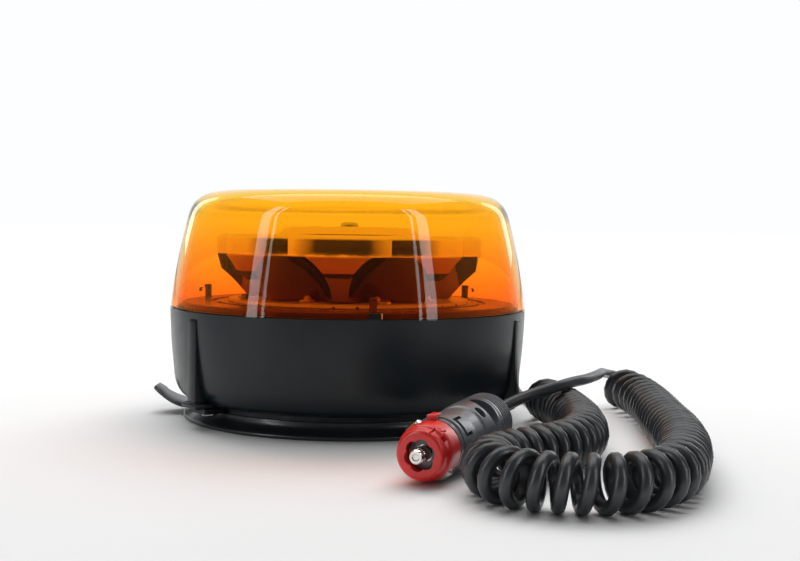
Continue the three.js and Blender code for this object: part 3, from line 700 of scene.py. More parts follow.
class Workshop:
    """Dresses finished pieces and puts them on their bodies."""

    def __init__(self) -> None:
        """Reads which slot and body each frame node has."""
        record = frame["record"]
        self.slots = {row["node"]: row["material_slot"] for row in record["subparts"]}
        self.bodies = {node: body for body, nodes in record["behaviour"]["bodies"].items() for node in nodes}
        self.painted: dict[str, bpy.types.Material] = {}

    def paint(self, piece: bpy.types.Object, slot: str) -> None:
        """Gives a piece the one finish of a slot."""
        if slot not in self.painted:
            self.painted[slot] = FINISHES[slot].material(slot)
        piece.data.materials.clear()
        piece.data.materials.append(self.painted[slot])

    def fit(self, piece: bpy.types.Object, *nodes: str) -> bpy.types.Object:
        """Dresses a piece and lets it stand for frame nodes on the first one's body."""
        slot = self.slots[nodes[0]]
        self.paint(piece, slot)
        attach(piece, self.bodies[nodes[0]])
        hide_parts(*nodes)
        LOG.info("%s: %d faces, finish %s", piece.name, len(getattr(piece.data, "polygons", [])), slot)
        return piece

    def dress_carried_over(self) -> None:
        """Gives every frame node that is still shown its finish."""
        for name, node in frame["nodes"].items():
            if not node.hide_render:
                self.paint(node, self.slots[name])
                LOG.info("%s is carried over", name)


# --------------------------------------------------------------------------- studio
@dataclass
class Studio:
    """Camera, floor, world and lamps, in metres."""

    camera_place: Point3 = (0.024, -0.580, 0.091)
    pitch_down: float = 2.76
    roll: float = 0.8
    lens: float = 55.6
    sensor: float = 36.0
    floor_radius: float = 14.0
    room_color: Color = (0.98, 0.99, 1)
    ambient: float = 0.24
    mirror_edge: float = 0.62
    mirror_dim: float = 0.07
    mirror_bright: float = 1.0
    passed_dim: float = 0.03
    passed_bright: float = 1.12
    passed_above: float = 1.1
    aim: Point3 = (0, 0, 0.06)
    bar_aim: Point3 = (0, 0, 0.45)
    bar_distance: float = 1.1
    bar_height: float = 0.62
    bar_length: float = 1.1
    bar_angles: Point2 = (58, 54)

    def build_camera(self) -> None:
        """Makes the camera and points it along +Y, a little downwards."""
        data = bpy.data.cameras.new("camera")
        data.lens = self.lens
        data.sensor_width = self.sensor
        data.clip_start = 0.01
        camera = bpy.data.objects.new("camera", data)
        bpy.context.scene.collection.objects.link(camera)
        tilt = Matrix.Rotation(math.radians(90 - self.pitch_down), 4, "X")
        lean = Matrix.Rotation(math.radians(self.roll), 4, "Z")
        camera.matrix_world = Matrix.Translation(self.camera_place) @ tilt @ lean
        bpy.context.scene.camera = camera

    def build_floor(self) -> None:
        """Makes the floor disc."""
        shape = bmesh.new()
        bmesh.ops.create_circle(shape, cap_ends=True, segments=96, radius=self.floor_radius)
        data = bpy.data.meshes.new("floor")
        shape.to_mesh(data)
        shape.free()
        floor = bpy.data.objects.new("floor", data)
        bpy.context.scene.collection.objects.link(floor)
        floor.data.materials.append(StudioFloor().material("floor"))

    def build_world(self) -> None:
        """Lights the room softly: white where seen, bright behind the object and dim in front."""
        bench = Bench("studio", world=True)
        way = bench.node("ShaderNodeTexCoord", output="Generated")
        back, above = (bench.node("ShaderNodeSeparateXYZ", {}, {"Vector": way}, axis) for axis in "YZ")
        seen, shiny, through = (bench.ray(kind) for kind in ("Camera", "Glossy", "Transmission"))
        mirrored = back.over(self.mirror_edge, 1, self.mirror_dim, self.mirror_bright)
        overhead = above.over(0.25, 0.8)
        around = back.over(-0.72, -0.1, self.passed_dim, self.passed_bright)
        passed = around * (1 - overhead) + overhead * self.passed_above
        unseen = mirrored * shiny + self.ambient * (1 - shiny)
        level = passed * through + unseen * (1 - through)
        strength = level * (1 - seen) + seen
        room = bench.node("ShaderNodeBackground", {}, {
            "Color": (*self.room_color, 1), "Strength": strength})
        bpy.context.scene.world = bench.finish(room)

    def lamp(self, name: str, place: Point3, aim: Point3, size: Point2, power: float,
             fills: bool = True, shines: bool = True) -> None:
        """Hangs one soft rectangular lamp.

        Args:
            name: The lamp's name.
            place: Where it hangs, in metres.
            aim: The point that it faces.
            size: Its width and height.
            power: Its power in watts.
            fills: Whether it lights dull surfaces.
            shines: Whether it shows in glossy surfaces.
        """
        data = bpy.data.lights.new(name, "AREA")
        data.shape = "RECTANGLE"
        data.size, data.size_y = size
        data.energy = power
        lamp = bpy.data.objects.new(name, data)
        bpy.context.scene.collection.objects.link(lamp)
        facing = (Vector(aim) - Vector(place)).to_track_quat("-Z", "Y")
        lamp.visible_transmission = False
        lamp.visible_camera = False
        lamp.visible_diffuse = fills
        lamp.visible_glossy = shines
        lamp.matrix_world = Matrix.Translation(place) @ facing.to_matrix().to_4x4()

    def build_lamps(self) -> None:
        """Hangs a top softbox, a back light, and on each side a wide bar, a slim bar and an edge lamp."""
        self.lamp("top_softbox", (0, 0.35, 1.45), self.aim, (1.8, 1.2), 14)
        for side, label, angle in zip((-1, 1), ("left", "right"), self.bar_angles):
            for name, turn, width, power in (("bar", 0, 0.15, 3.2), ("slim", -7.5, 0.04, 0.8)):
                around = math.radians(angle + turn)
                place = (side * self.bar_distance * math.sin(around),
                         -self.bar_distance * math.cos(around), self.bar_height)
                self.lamp(f"{name}_{label}", place, self.bar_aim, (width, self.bar_length), power,
                          fills=False)
            self.lamp(f"edge_{label}", (side * 0.75, 0.95, 0.45), (0, 0, 0.05), (0.22, 0.6), 0.8)
        self.lamp("back_light", (0, 1.3, 1.5), self.aim, (2.6, 0.9), 30, shines=False)

    def build(self) -> None:
        """Builds everything that isn't part of the object."""
        self.build_floor()
        self.build_world()
        self.build_lamps()
        bpy.context.scene.view_settings.view_transform = "Standard"


# --------------------------------------------------------------------------- cord
@dataclass
class CurlyCord:
    """The supply cord: a short tail at the beacon, a long curl, and a lead to the plug."""

    shop: Workshop
    diameter: float = 4.7
    curl_radius: float = 7.65
    curl_height: float = 10.0
    steps_per_turn: int = 16
    axis_steps: int = 40
    end_steps: int = 6
    tail: Sequence[Point3] = (
        (-8, 74, 23.5), (-1.5, 74, 14), (2, 66, 5), (4, 52, 2.5), (6, 38, 2.5), (8.5, 22, 2.5),
        (10.1, 6, 2.6))
    curl: Sequence[Point2] = (
        (9.3, -12), (10.7, -27), (14.1, -42), (15.5, -68), (14.9, -92), (10.5, -117), (0.5, -137),
        (-11.5, -150), (-21.5, -159), (-27.5, -170), (-26, -184), (-17.5, -193.5), (-6.5, -197.5),
        (5.5, -198.5), (18.5, -194), (31.5, -180), (39.9, -158), (46.5, -130), (49.9, -104), (52, -70),
        (54.3, -38), (55.3, -12), (54.5, 12), (51, 33))
    lead: Sequence[Point3] = (
        (-23.6, -93, 12.3), (-19.9, -84.6, 13.9), (-13.5, -77.5, 16.9), (-3.5, -70, 19.8), (7.5, -60, 21.6),
        (16, -48, 22.2), (23.5, -36, 22), (32.5, -12, 20.9), (38.2, 12, 18.9), (42, 28, 17.5),
        (46.5, 38, 15.7), (51.5, 43, 14.2), (57, 43.2, 12.3), (59.2, 40.5, 11.1))
    pitches: Sequence[Point2] = (
        (0, 12), (0.02, 7), (0.3, 6.6), (0.38, 7.2), (0.52, 7.3), (0.6, 6.6), (0.74, 6.6), (0.86, 9),
        (0.95, 13), (1, 15))

    def pitch(self, share: float) -> float:
        """Gives the distance between turns at a share of the curl's length."""
        for (left, first), (right, second) in zip(self.pitches, self.pitches[1:]):
            if share <= right:
                return first + (second - first) * (share - left) / (right - left)
        return self.pitches[-1][1]

    def curl_line(self, flank: float) -> list[Vector]:
        """Winds the left-handed curl.

        Args:
            flank: The x of the beacon's flank, from which the route is measured.

        Returns:
            Points along the cord, from the tail to the lead.
        """
        axis = smooth_line([Vector((flank + x, y, self.curl_height)) for x, y in self.curl], self.axis_steps)
        along = [0.0]
        for first, second in zip(axis, axis[1:]):
            along.append(along[-1] + (second - first).length)
        total = along[-1]
        turned = [0.0]
        for first, second in zip(along, along[1:]):
            turned.append(turned[-1] + (second - first) / self.pitch((first + second) / 2 / total))
        turns = round(turned[-1]) + 0.25
        stretch = turns / turned[-1]
        points = []
        index = 0
        for step in range(round(turns * self.steps_per_turn) + 1):
            wanted = step / self.steps_per_turn / stretch
            while index < len(turned) - 2 and turned[index + 1] < wanted:
                index += 1
            share = (wanted - turned[index]) / (turned[index + 1] - turned[index])
            centre = axis[index].lerp(axis[index + 1], min(share, 1))
            ahead = (axis[index + 1] - axis[index]).normalized()
            angle = math.pi - TURN * step / self.steps_per_turn
            points.append(centre + self.curl_radius * (
                math.cos(angle) * Z_AXIS + math.sin(angle) * ahead.cross(Z_AXIS)))
        return points

    def build(self, with_pieces: Sequence[object]) -> bpy.types.Object:
        flank = box_mm("dome_lens")[1].x
        gland_tip = self.gland_tip()
        shift = Vector((flank, 0, 0))
        tail = [gland_tip, *[Vector(point) + shift for point in self.tail]]
        lead = [Vector(point) + shift for point in reversed(self.lead)]
        curl = self.curl_line(flank)
        ease = self.steps_per_turn // 8
        start = smooth_line([*tail, *curl[ease:ease + 2]], self.end_steps)[:-1 - self.end_steps]
        end = smooth_line([*curl[-2 - ease:-ease], *lead], self.end_steps)[1 + self.end_steps:]
        line = [*start, *curl[ease:-ease], *end]
        data = bpy.data.curves.new("cord", "CURVE")
        data.dimensions = "3D"
        data.bevel_depth = self.diameter / 2 * MM
        data.bevel_resolution = 4
        data.use_fill_caps = True
        spline = data.splines.new("POLY")
        spline.points.add(len(line) - 1)
        for point, place in zip(spline.points, line):
            point.co = (*(place * MM), 1)
        spline.use_smooth = True
        cord = bpy.data.objects.new("cord", data)
        bpy.context.scene.collection.objects.link(cord)
        self.shop.fit(cord, "cord_coil", "cord_tail", "cord_lead")
        length = sum((b - a).length for a, b in zip(line, line[1:])) * MM
        LOG.info("the cord is %.3f m long", length)
        tuple(gland_tip * MM)
        self.diameter * MM
        return cord

    def gland_tip(self) -> Vector:
        """Finds the middle of the gland's outer end, where the cord comes out."""
        low, high = box_mm("cable_gland")
        middle = (low + high) / 2
        verts = [vertex.co / MM for vertex in frame["nodes"]["cable_gland"].data.vertices]
        outwards = Vector((middle.x, middle.y, 0)).normalized()
        reach = max(vertex.dot(outwards) for vertex in verts)
        return outwards * reach + Z_AXIS * middle.z


# --------------------------------------------------------------------------- dome
@dataclass
class Dome:
    """The clear dome and the latch in its rim."""

    shop: Workshop
    wall: float = 2.5
    side_lean: float = 7.9
    shoulder_inset: float = 24.5
    shoulder_drop: float = 13.4
    crown_rise: float = 1.5
    side_bow: float = 0.32
    shoulder_pull: Point2 = (2, 7.8)
    crown_pull: Point2 = (10, 0.8)
    latch_azimuth: float = 280
    gap: float = 0.3
    lug: Point3 = (2.6, 6, 2)
    lug_rise: float = 6
    rim_chamfer: float = 0.35
    notch_half: float = 2.9
    latch_half: float = 2.6
    latch_depth: float = 2.3
    tail_reach: float = 11.3

    def outline(self, inset: float) -> list[Point2]:
        """Gives the half outline from rim to crown, `inset` inside the outer skin."""
        low, high = box_mm("dome_lens")
        rim, top = high.x - inset, high.z - inset
        shoulder = (rim - self.side_lean, top - self.shoulder_drop)
        crown = (rim - self.shoulder_inset, top - self.crown_rise)
        bow = (rim - self.side_bow * self.side_lean, (low.z + shoulder[1]) / 2)
        side = bezier([(rim, low.z), bow, shoulder], 12)
        corner = bezier([
            shoulder, (shoulder[0] - self.shoulder_pull[0], shoulder[1] + self.shoulder_pull[1]),
            (crown[0] + self.crown_pull[0], crown[1] - self.crown_pull[1]), crown], 18)
        middle = bezier([crown, (crown[0] / 2, top), (0, top)], 10)
        return [*side, *corner[1:], *middle[1:]]

    def build_lens(self) -> bpy.types.Object:
        """Builds the dome with its notch and its two catch lugs."""
        outer, inner = self.outline(0), self.outline(self.wall)
        outer[0] = (outer[0][0], outer[0][1] + self.rim_chamfer)
        low, high = box_mm("dome_lens")
        lip = [(inner[0][0] + 0.25, low.z), (outer[0][0] - self.rim_chamfer, low.z)]
        lens = Shape.turned([*outer, (0, inner[-1][1]), *reversed(inner[:-1]), *lip], 144)
        inside = high.x - self.wall
        reach, width, height = self.lug
        lugs = [Shape.block((inside - reach, -width / 2, low.z + self.lug_rise),
                            (inside + self.wall / 3, width / 2, low.z + self.lug_rise + height), 0.4)
                .set_out(azimuth=self.latch_azimuth + turn) for turn in (120, 240)]
        latch_top = box_mm("dome_latch")[1].z
        notch = Shape.block((inside - self.wall, -self.notch_half, low.z - 2),
                            (inside + 2 * self.wall, self.notch_half, latch_top + self.gap))
        notch.bevelled(0.5).set_out(azimuth=self.latch_azimuth)
        return self.shop.fit(lens.plus(*lugs).minus(notch).object("dome", 25), "dome_lens")

    def build_latch(self) -> bpy.types.Object:
        """Builds the latch: a ribbed push face on a spring tail."""
        low, high = box_mm("dome_latch")
        outer = box_mm("dome_lens")[1].x - self.wall + 1.85
        half = self.latch_half
        latch = Shape.block((outer - self.latch_depth, -half, low.z), (outer, half, high.z), 0.35)
        tail = Shape.block((outer - self.tail_reach, -2, low.z + 0.01), (outer - 1, 2, low.z + 1), 0.2)
        grooves = [Shape.block((outer - 0.25, -2.0, low.z + z), (outer + 1, 2.0, low.z + z + 0.35))
                   for z in (1.0, 1.8, 2.6)]
        latch.plus(tail).minus(*grooves).set_out(azimuth=self.latch_azimuth)
        return self.shop.fit(latch.object("latch"), "dome_latch")

    def build(self) -> None:
        """Builds both pieces."""
        self.build_lens()
        self.build_latch()


# --------------------------------------------------------------------------- base
@dataclass
class Base:
    """The housing with its legs, the deck over it and the cord gland."""

    shop: Workshop
    wall: float = 2.5
    floor_inset: float = 12.5
    bowl_inset: float = 1.9
    bowl_height: float = 13
    leg_azimuths: Sequence[float] = (218, 338, 98)
    leg_width: float = 7
    leg_depth: float = 16
    leg_proud: float = 0.4
    foot: Point2 = (13, 2.6)
    deck_radius: float = 77.2
    deck_thickness: float = 2.4
    post_azimuth: float = 280
    slot_levels: Point2 = (49.4, 51.2)
    gland_azimuth: float = 45
    gland_bore: float = 2.65
    gland_tail: float = 14
    gland_rings: int = 4

    def outline(self, inset: float) -> list[Point2]:
        """Gives the bowl's half outline from floor to rim, `inset` inside the outer skin."""
        low, high = box_mm("base_housing")
        rim, floor = high.x - inset, low.z + inset
        bowl = (rim - self.bowl_inset, floor + self.bowl_height)
        turn = (rim - self.bowl_inset - 0.6, floor - 0.1)
        corner = bezier([(rim - self.floor_inset, floor), turn, bowl], 12)
        side = bezier([bowl, (rim - 0.3, floor + 2 * self.bowl_height), (rim, high.z)], 10)
        return [*corner, *side[1:]]

    def leg(self, azimuth: float) -> list[Shape]:
        """Makes one leg: a rib up the wall, a web that widens downwards, and a foot."""
        low, high = box_mm("base_housing")
        outer = high.x + self.leg_proud
        inner = outer - self.leg_depth
        half = self.leg_width / 2
        web = Shape.prism(rounded([
            (outer, low.z, 0), (outer, high.z - 3, 1.5), (outer - 2.9, high.z - 3, 0),
            (outer - 2.9, low.z + 30, 9), (outer - 7, low.z + 19, 8), (inner, low.z + 11, 3),
            (inner, low.z, 0)], 5), -half, half)
        web.stood_up().bevelled(0.5)
        foot = Shape.block((inner, -self.foot[0] / 2, low.z),
                           (outer + 1.2, self.foot[0] / 2, low.z + self.foot[1]), 0.8, 3)
        return [part.set_out(azimuth=azimuth) for part in (web, foot)]

    def build_housing(self) -> bpy.types.Object:
        """Builds the bowl with a parting step at its rim, and its legs."""
        low, high = box_mm("base_housing")
        outer, inner = self.outline(0), self.outline(self.wall)
        inner[-1] = (inner[-1][0], high.z)
        outer[-1] = (outer[-1][0], high.z - 0.5)
        lip = [(outer[-1][0] - 0.4, high.z)]
        bowl = Shape.turned([(0, low.z), *outer, *lip, *reversed(inner), (0, low.z + self.wall)], 144)
        legs = [part for azimuth in self.leg_azimuths for part in self.leg(azimuth)]
        return self.shop.fit(bowl.plus(*legs).object("housing"), "base_housing")

    def build_deck(self) -> bpy.types.Object:
        """Builds the deck with three hooked catch posts, a ring channel, a latch slot and a wire hole."""
        low, high = box_mm("deck")
        top = box_mm("led_board")[0].z
        under = top - self.deck_thickness
        rim = self.deck_radius
        deck = Shape.turned([(0, under), (rim - 2, under), (rim - 2, low.z), *rounded([
            (rim, low.z, 0), (rim, top, 1.0), (rim - 3, top, 0)], 4, False), (0, top)], 144)
        catches = [Shape.block(*corners, edge).set_out(azimuth=self.post_azimuth + turn)
                   for corners, edge in (
                       (((rim - 3.2, -1.5, top - 1.2), (rim - 0.8, 1.5, high.z)), 0.45),
                       (((rim - 1.8, -1.5, high.z - 1.2), (rim - 0.35, 1.5, high.z - 0.2)), 0.3))
                   for turn in (0, 120, 240)]
        channel = Shape.turned([(61, top - 0.6), (64, top - 0.6), (64, top + 1), (61, top + 1)], 96)
        slot_low, slot_high = self.slot_levels
        slot = Shape.block((rim - 4, -2.4, slot_low), (rim + 1, 2.4, slot_high))
        slot.set_out(azimuth=self.post_azimuth)
        wire_hole = Shape.rod(4, under - 1, top + 1, 32).set_out(-12)
        deck.plus(*catches).minus(channel, slot, wire_hole)
        return self.shop.fit(deck.object("deck"), "deck")

    def build_gland(self) -> bpy.types.Object:
        """Builds the gland with a slotted flexible tail."""
        tip = CurlyCord(self.shop).gland_tip()
        reach = Vector((tip.x, tip.y, 0)).length
        back = reach - self.gland_tail
        bore = self.gland_bore
        rings = []
        for ring in range(self.gland_rings):
            start = back + 4.6 + 2.2 * ring
            size = 4.9 - 0.35 * ring
            rings += [(size, start, 0.3), (size - 0.15, start + 1.3, 0.3),
                      (3.1, start + 1.4, 0), (3.1, start + 2.1, 0)]
        profile = rounded([
            (bore, back - 11, 0), (4.2, back - 11, 0.4), (4.2, back, 0), (6.2, back, 0.5),
            (6.2, back + 3, 0.8), (4.9, back + 3.6, 0), *rings, (3.6, reach - 0.9, 0.3),
            (3.5, reach, 0.5), (bore, reach, 0)], 3)
        gland = Shape.turned(profile, 48).tipped().set_out(z=tip.z, azimuth=self.gland_azimuth)
        return self.shop.fit(gland.object("gland"), "cable_gland")

    def build(self) -> None:
        """Builds the housing, deck and gland."""
        self.build_housing()
        self.build_deck()
        self.build_gland()


# --------------------------------------------------------------------------- foot
@dataclass
class MagneticFoot:
    """The soft pad under the base and its pull tab."""

    shop: Workshop
    magnet_radius: float = 52.3
    contact_radius: float = 53
    groove: float = 1.2
    recess_floor: float = 1.6
    tab_line: Sequence[Point2] = ((0, 0), (6, 1), (12, 3.5), (19, 8.4))
    tab_thickness: float = 1.5
    tab_end_extra: float = 0.3
    tab_length: float = 19.5

    def build_pad(self) -> bpy.types.Object:
        """Builds the pad: a flared dish with a beaded lip, a step and a lifting groove below."""
        high = box_mm("suction_pad")[1]
        rim, top = high.x, high.z
        floor = self.recess_floor
        profile = rounded([
            (0, 0, 0), (self.contact_radius, 0, 1), (self.contact_radius + 2, self.groove, 1),
            (rim - 9.3, self.groove, 2), (rim - 6.3, 0, 1.5), (rim - 0.6, 0, 0.5), (rim, 0.7, 0.5),
            (rim - 0.2, 1.7, 0.5), (rim - 2.4, 1.9, 0.8), (rim - 5.5, 3.1, 2), (rim - 7.0, 4.6, 1),
            (rim - 7.2, top, 0.6), (rim - 9.6, top, 0.3), (rim - 10, top - 0.8, 0.3),
            (rim - 11.6, top - 0.8, 0.3), (rim - 12, top, 0.3), (self.magnet_radius, top, 0),
            (self.magnet_radius, floor, 0), (0, floor, 0)], 4)
        return self.shop.fit(Shape.turned(profile, 144).object("pad"), "suction_pad")

    def build_tab(self) -> bpy.types.Object:
        """Builds the pull tab: a curved strip with a rounded, thicker end."""
        low, high = box_mm("release_tab")
        root = Vector((high.x, 0, low.z))
        line = smooth_line([Vector((x, 0, z)) for x, z in self.tab_line], 5)
        half = (high.y - low.y) / 2
        under, over = [], []
        for index, point in enumerate(line):
            ahead = (line[min(index + 1, len(line) - 1)] - line[max(index - 1, 0)]).normalized()
            lift = Vector((-ahead.z, 0, ahead.x))
            extra = self.tab_end_extra if index >= len(line) - 3 else 0
            raised = point + lift * (self.tab_thickness + extra)
            under.append((point.x, point.z))
            over.append((raised.x, raised.z))
        strip = Shape.prism([*under, *reversed(over)], -half, half).stood_up()
        end = self.tab_length
        corner_tool = Shape.prism(rounded([
            (-2, -half, 0), (6, -half, 3), (end, -half / 2, 4), (end, half / 2, 4), (6, half, 3),
            (-2, half, 0)], 6), -2, 14)
        frame_tool = Shape.block((-6, -half - 6, -4), (32, half + 6, 16)).minus(corner_tool)
        strip.minus(frame_tool).bevelled(0.3, 2, 0.9)
        strip.moved(Matrix.Translation(root) @ Matrix.Rotation(math.pi, 4, "Z"))
        return self.shop.fit(strip.object("tab"), "release_tab")

    def build(self) -> None:
        """Builds the pad and the tab."""
        self.build_pad()
        self.build_tab()


# --------------------------------------------------------------------------- light head
@dataclass
class LightHead:
    """The LED board, the LEDs, the hooded reflector and its lobed cap."""

    shop: Workshop
    hoods: int = 8
    rib_azimuth: float = 268
    board_radius: float = 56
    screw_radius: float = 50
    led_radius: float = 40
    bore_radius: float = 22
    top_radius: float = 61
    flare: float = 14
    scoop_focus: float = 5.2
    scoop_length: float = 28
    scoop_steps: int = 22
    scoop_drop: float = 1
    cap_radius: float = 62
    lobe_radius: float = 32
    lobe_steps: int = 14
    raised_radius: float = 34
    raised_height: float = 3.8
    cap_wall: float = 2.2

    def hood_azimuth(self, index: float) -> float:
        """Gives the azimuth of a hood's middle in degrees."""
        return self.rib_azimuth + 360 / self.hoods * (index + 0.5)

    def build_board(self) -> bpy.types.Object:
        """Builds the LED board with its screw holes and a bevelled edge."""
        low, high = box_mm("led_board")
        board = Shape.turned([(0, low.z), *rounded([
            (self.board_radius, low.z, 0.2), (self.board_radius, high.z, 0.3)], 2), (0, high.z)], 120)
        holes = [Shape.rod(1.8, low.z - 1, high.z + 1, 16)
                 .set_out(self.screw_radius, azimuth=self.hood_azimuth(2 * hole)) for hole in range(4)]
        return self.shop.fit(board.minus(*holes).object("board"), "led_board")

    def build_leds(self) -> None:
        """Builds each LED: a square carrier with a domed lens."""
        low = box_mm("led_1")[0]
        for index in range(self.hoods):
            carrier = Shape.block((-2.5, -2.5, low.z), (2.5, 2.5, low.z + 0.8), 0.2)
            domed = [(1.8 * math.cos(rise), low.z + 0.9 + 1.9 * math.sin(rise)) for rise in (0.3, 0.7, 1.1)]
            lens = Shape.turned([(0, low.z + 0.5), (1.9, low.z + 0.5), (1.9, low.z + 0.9), *domed,
                                 (0, low.z + 2.8)], 24)
            led = carrier.plus(lens).set_out(self.led_radius, azimuth=self.hood_azimuth(index))
            self.shop.fit(led.object(f"diode_{index + 1}"), f"led_{index + 1}")

    def scoop(self, index: int, bottom: float) -> Shape:
        """Makes the half-buried paraboloid that hollows one hood, in flat steps."""
        depths = [self.scoop_length * (step / self.scoop_steps) ** 2 for step in range(self.scoop_steps + 1)]
        profile = [(math.sqrt(4 * self.scoop_focus * depth), depth) for depth in depths]
        tool = Shape.turned([*profile, (0, self.scoop_length)], 72).tipped()
        return tool.set_out(self.led_radius - self.scoop_focus, z=bottom - self.scoop_drop,
                            azimuth=self.hood_azimuth(index))

    def build_reflector(self) -> bpy.types.Object:
        """Builds the flared body and hollows the hoods out of it."""
        low, high = box_mm("reflector")
        height = high.z - low.z
        foot = self.top_radius - self.flare
        side = [(foot + self.flare * out, low.z + height * up)
                for out, up in ((0, 0), (0.21, 0.17), (0.5, 0.4), (0.89, 0.65), (1, 0.97), (1, 1))]
        body = Shape.turned([(self.bore_radius, low.z), *side, (self.bore_radius, high.z)], 144)
        body.minus(*[self.scoop(index, low.z) for index in range(self.hoods)])
        return self.shop.fit(body.object("hooded_mirror", 22), "reflector")

    def lobes(self, inset: float) -> list[Point2]:
        """Gives the outline of bulging lobes, one over each rib, `inset` inside the outer edge."""
        centre = self.cap_radius - self.lobe_radius
        radius = self.lobe_radius - inset
        half = math.pi / self.hoods
        edge = centre * math.cos(half) + math.sqrt(radius ** 2 - (centre * math.sin(half)) ** 2)
        sweep = math.atan2(edge * math.sin(half), edge * math.cos(half) - centre)
        outline = []
        for lobe in range(self.hoods):
            turn = Matrix.Rotation(math.radians(self.rib_azimuth) + TURN * lobe / self.hoods, 2)
            for step in range(self.lobe_steps):
                angle = sweep * (2 * step / self.lobe_steps - 1)
                point = turn @ Vector((centre + radius * math.cos(angle), radius * math.sin(angle)))
                outline.append((point.x, point.y))
        return outline

    def build_cap(self) -> bpy.types.Object:
        """Builds the lobed cap, hollow below, with its raised middle."""
        low, high = box_mm("reflector_cap")
        top = high.z - self.raised_height
        cap = Shape.prism(self.lobes(0), low.z, top)
        cap.rim_rounded(top, self.cap_wall)
        rim = self.raised_radius
        raised = Shape.turned([(0, top - 1), *rounded([
            (rim, top - 1, 0), (rim, top + 0.5, 0.4), (rim - 5, high.z, 2), (rim - 9, high.z, 0)], 3, False),
            (12, high.z), (10.5, high.z - 1.2), (0, high.z - 1.2)], 96)
        hollow = Shape.prism(self.lobes(self.cap_wall), low.z - 1, top - self.cap_wall)
        bolt_hole = Shape.rod(2.3, top - 4, high.z + 1, 20)
        cap.plus(raised).minus(hollow, bolt_hole)
        return self.shop.fit(cap.object("mirror_cap", 35), "reflector_cap")

    def build_bolt(self) -> bpy.types.Object:
        """Builds the cap bolt with a cross recess in its head."""
        low, high = box_mm("cap_bolt")
        head = high.z - 2.4
        bolt = Shape.turned([(0, low.z), *rounded([
            (2, low.z, 0.4), (2, head, 0), (4.2, head, 0.2), (4.2, head + 1.3, 0.8), (2.4, high.z, 0.8)],
            3, False), (0, high.z)], 40)
        crosses = [Shape.block((-2.2, -0.5, high.z - 1.3), (2.2, 0.5, high.z + 1)).set_out(azimuth=turn)
                   for turn in (20, 110)]
        return self.shop.fit(bolt.minus(*crosses).object("bolt"), "cap_bolt")

    def build(self) -> None:
        """Builds the whole light head."""
        self.build_board()
        self.build_leds()
        self.build_reflector()
        self.build_cap()
        self.build_bolt()


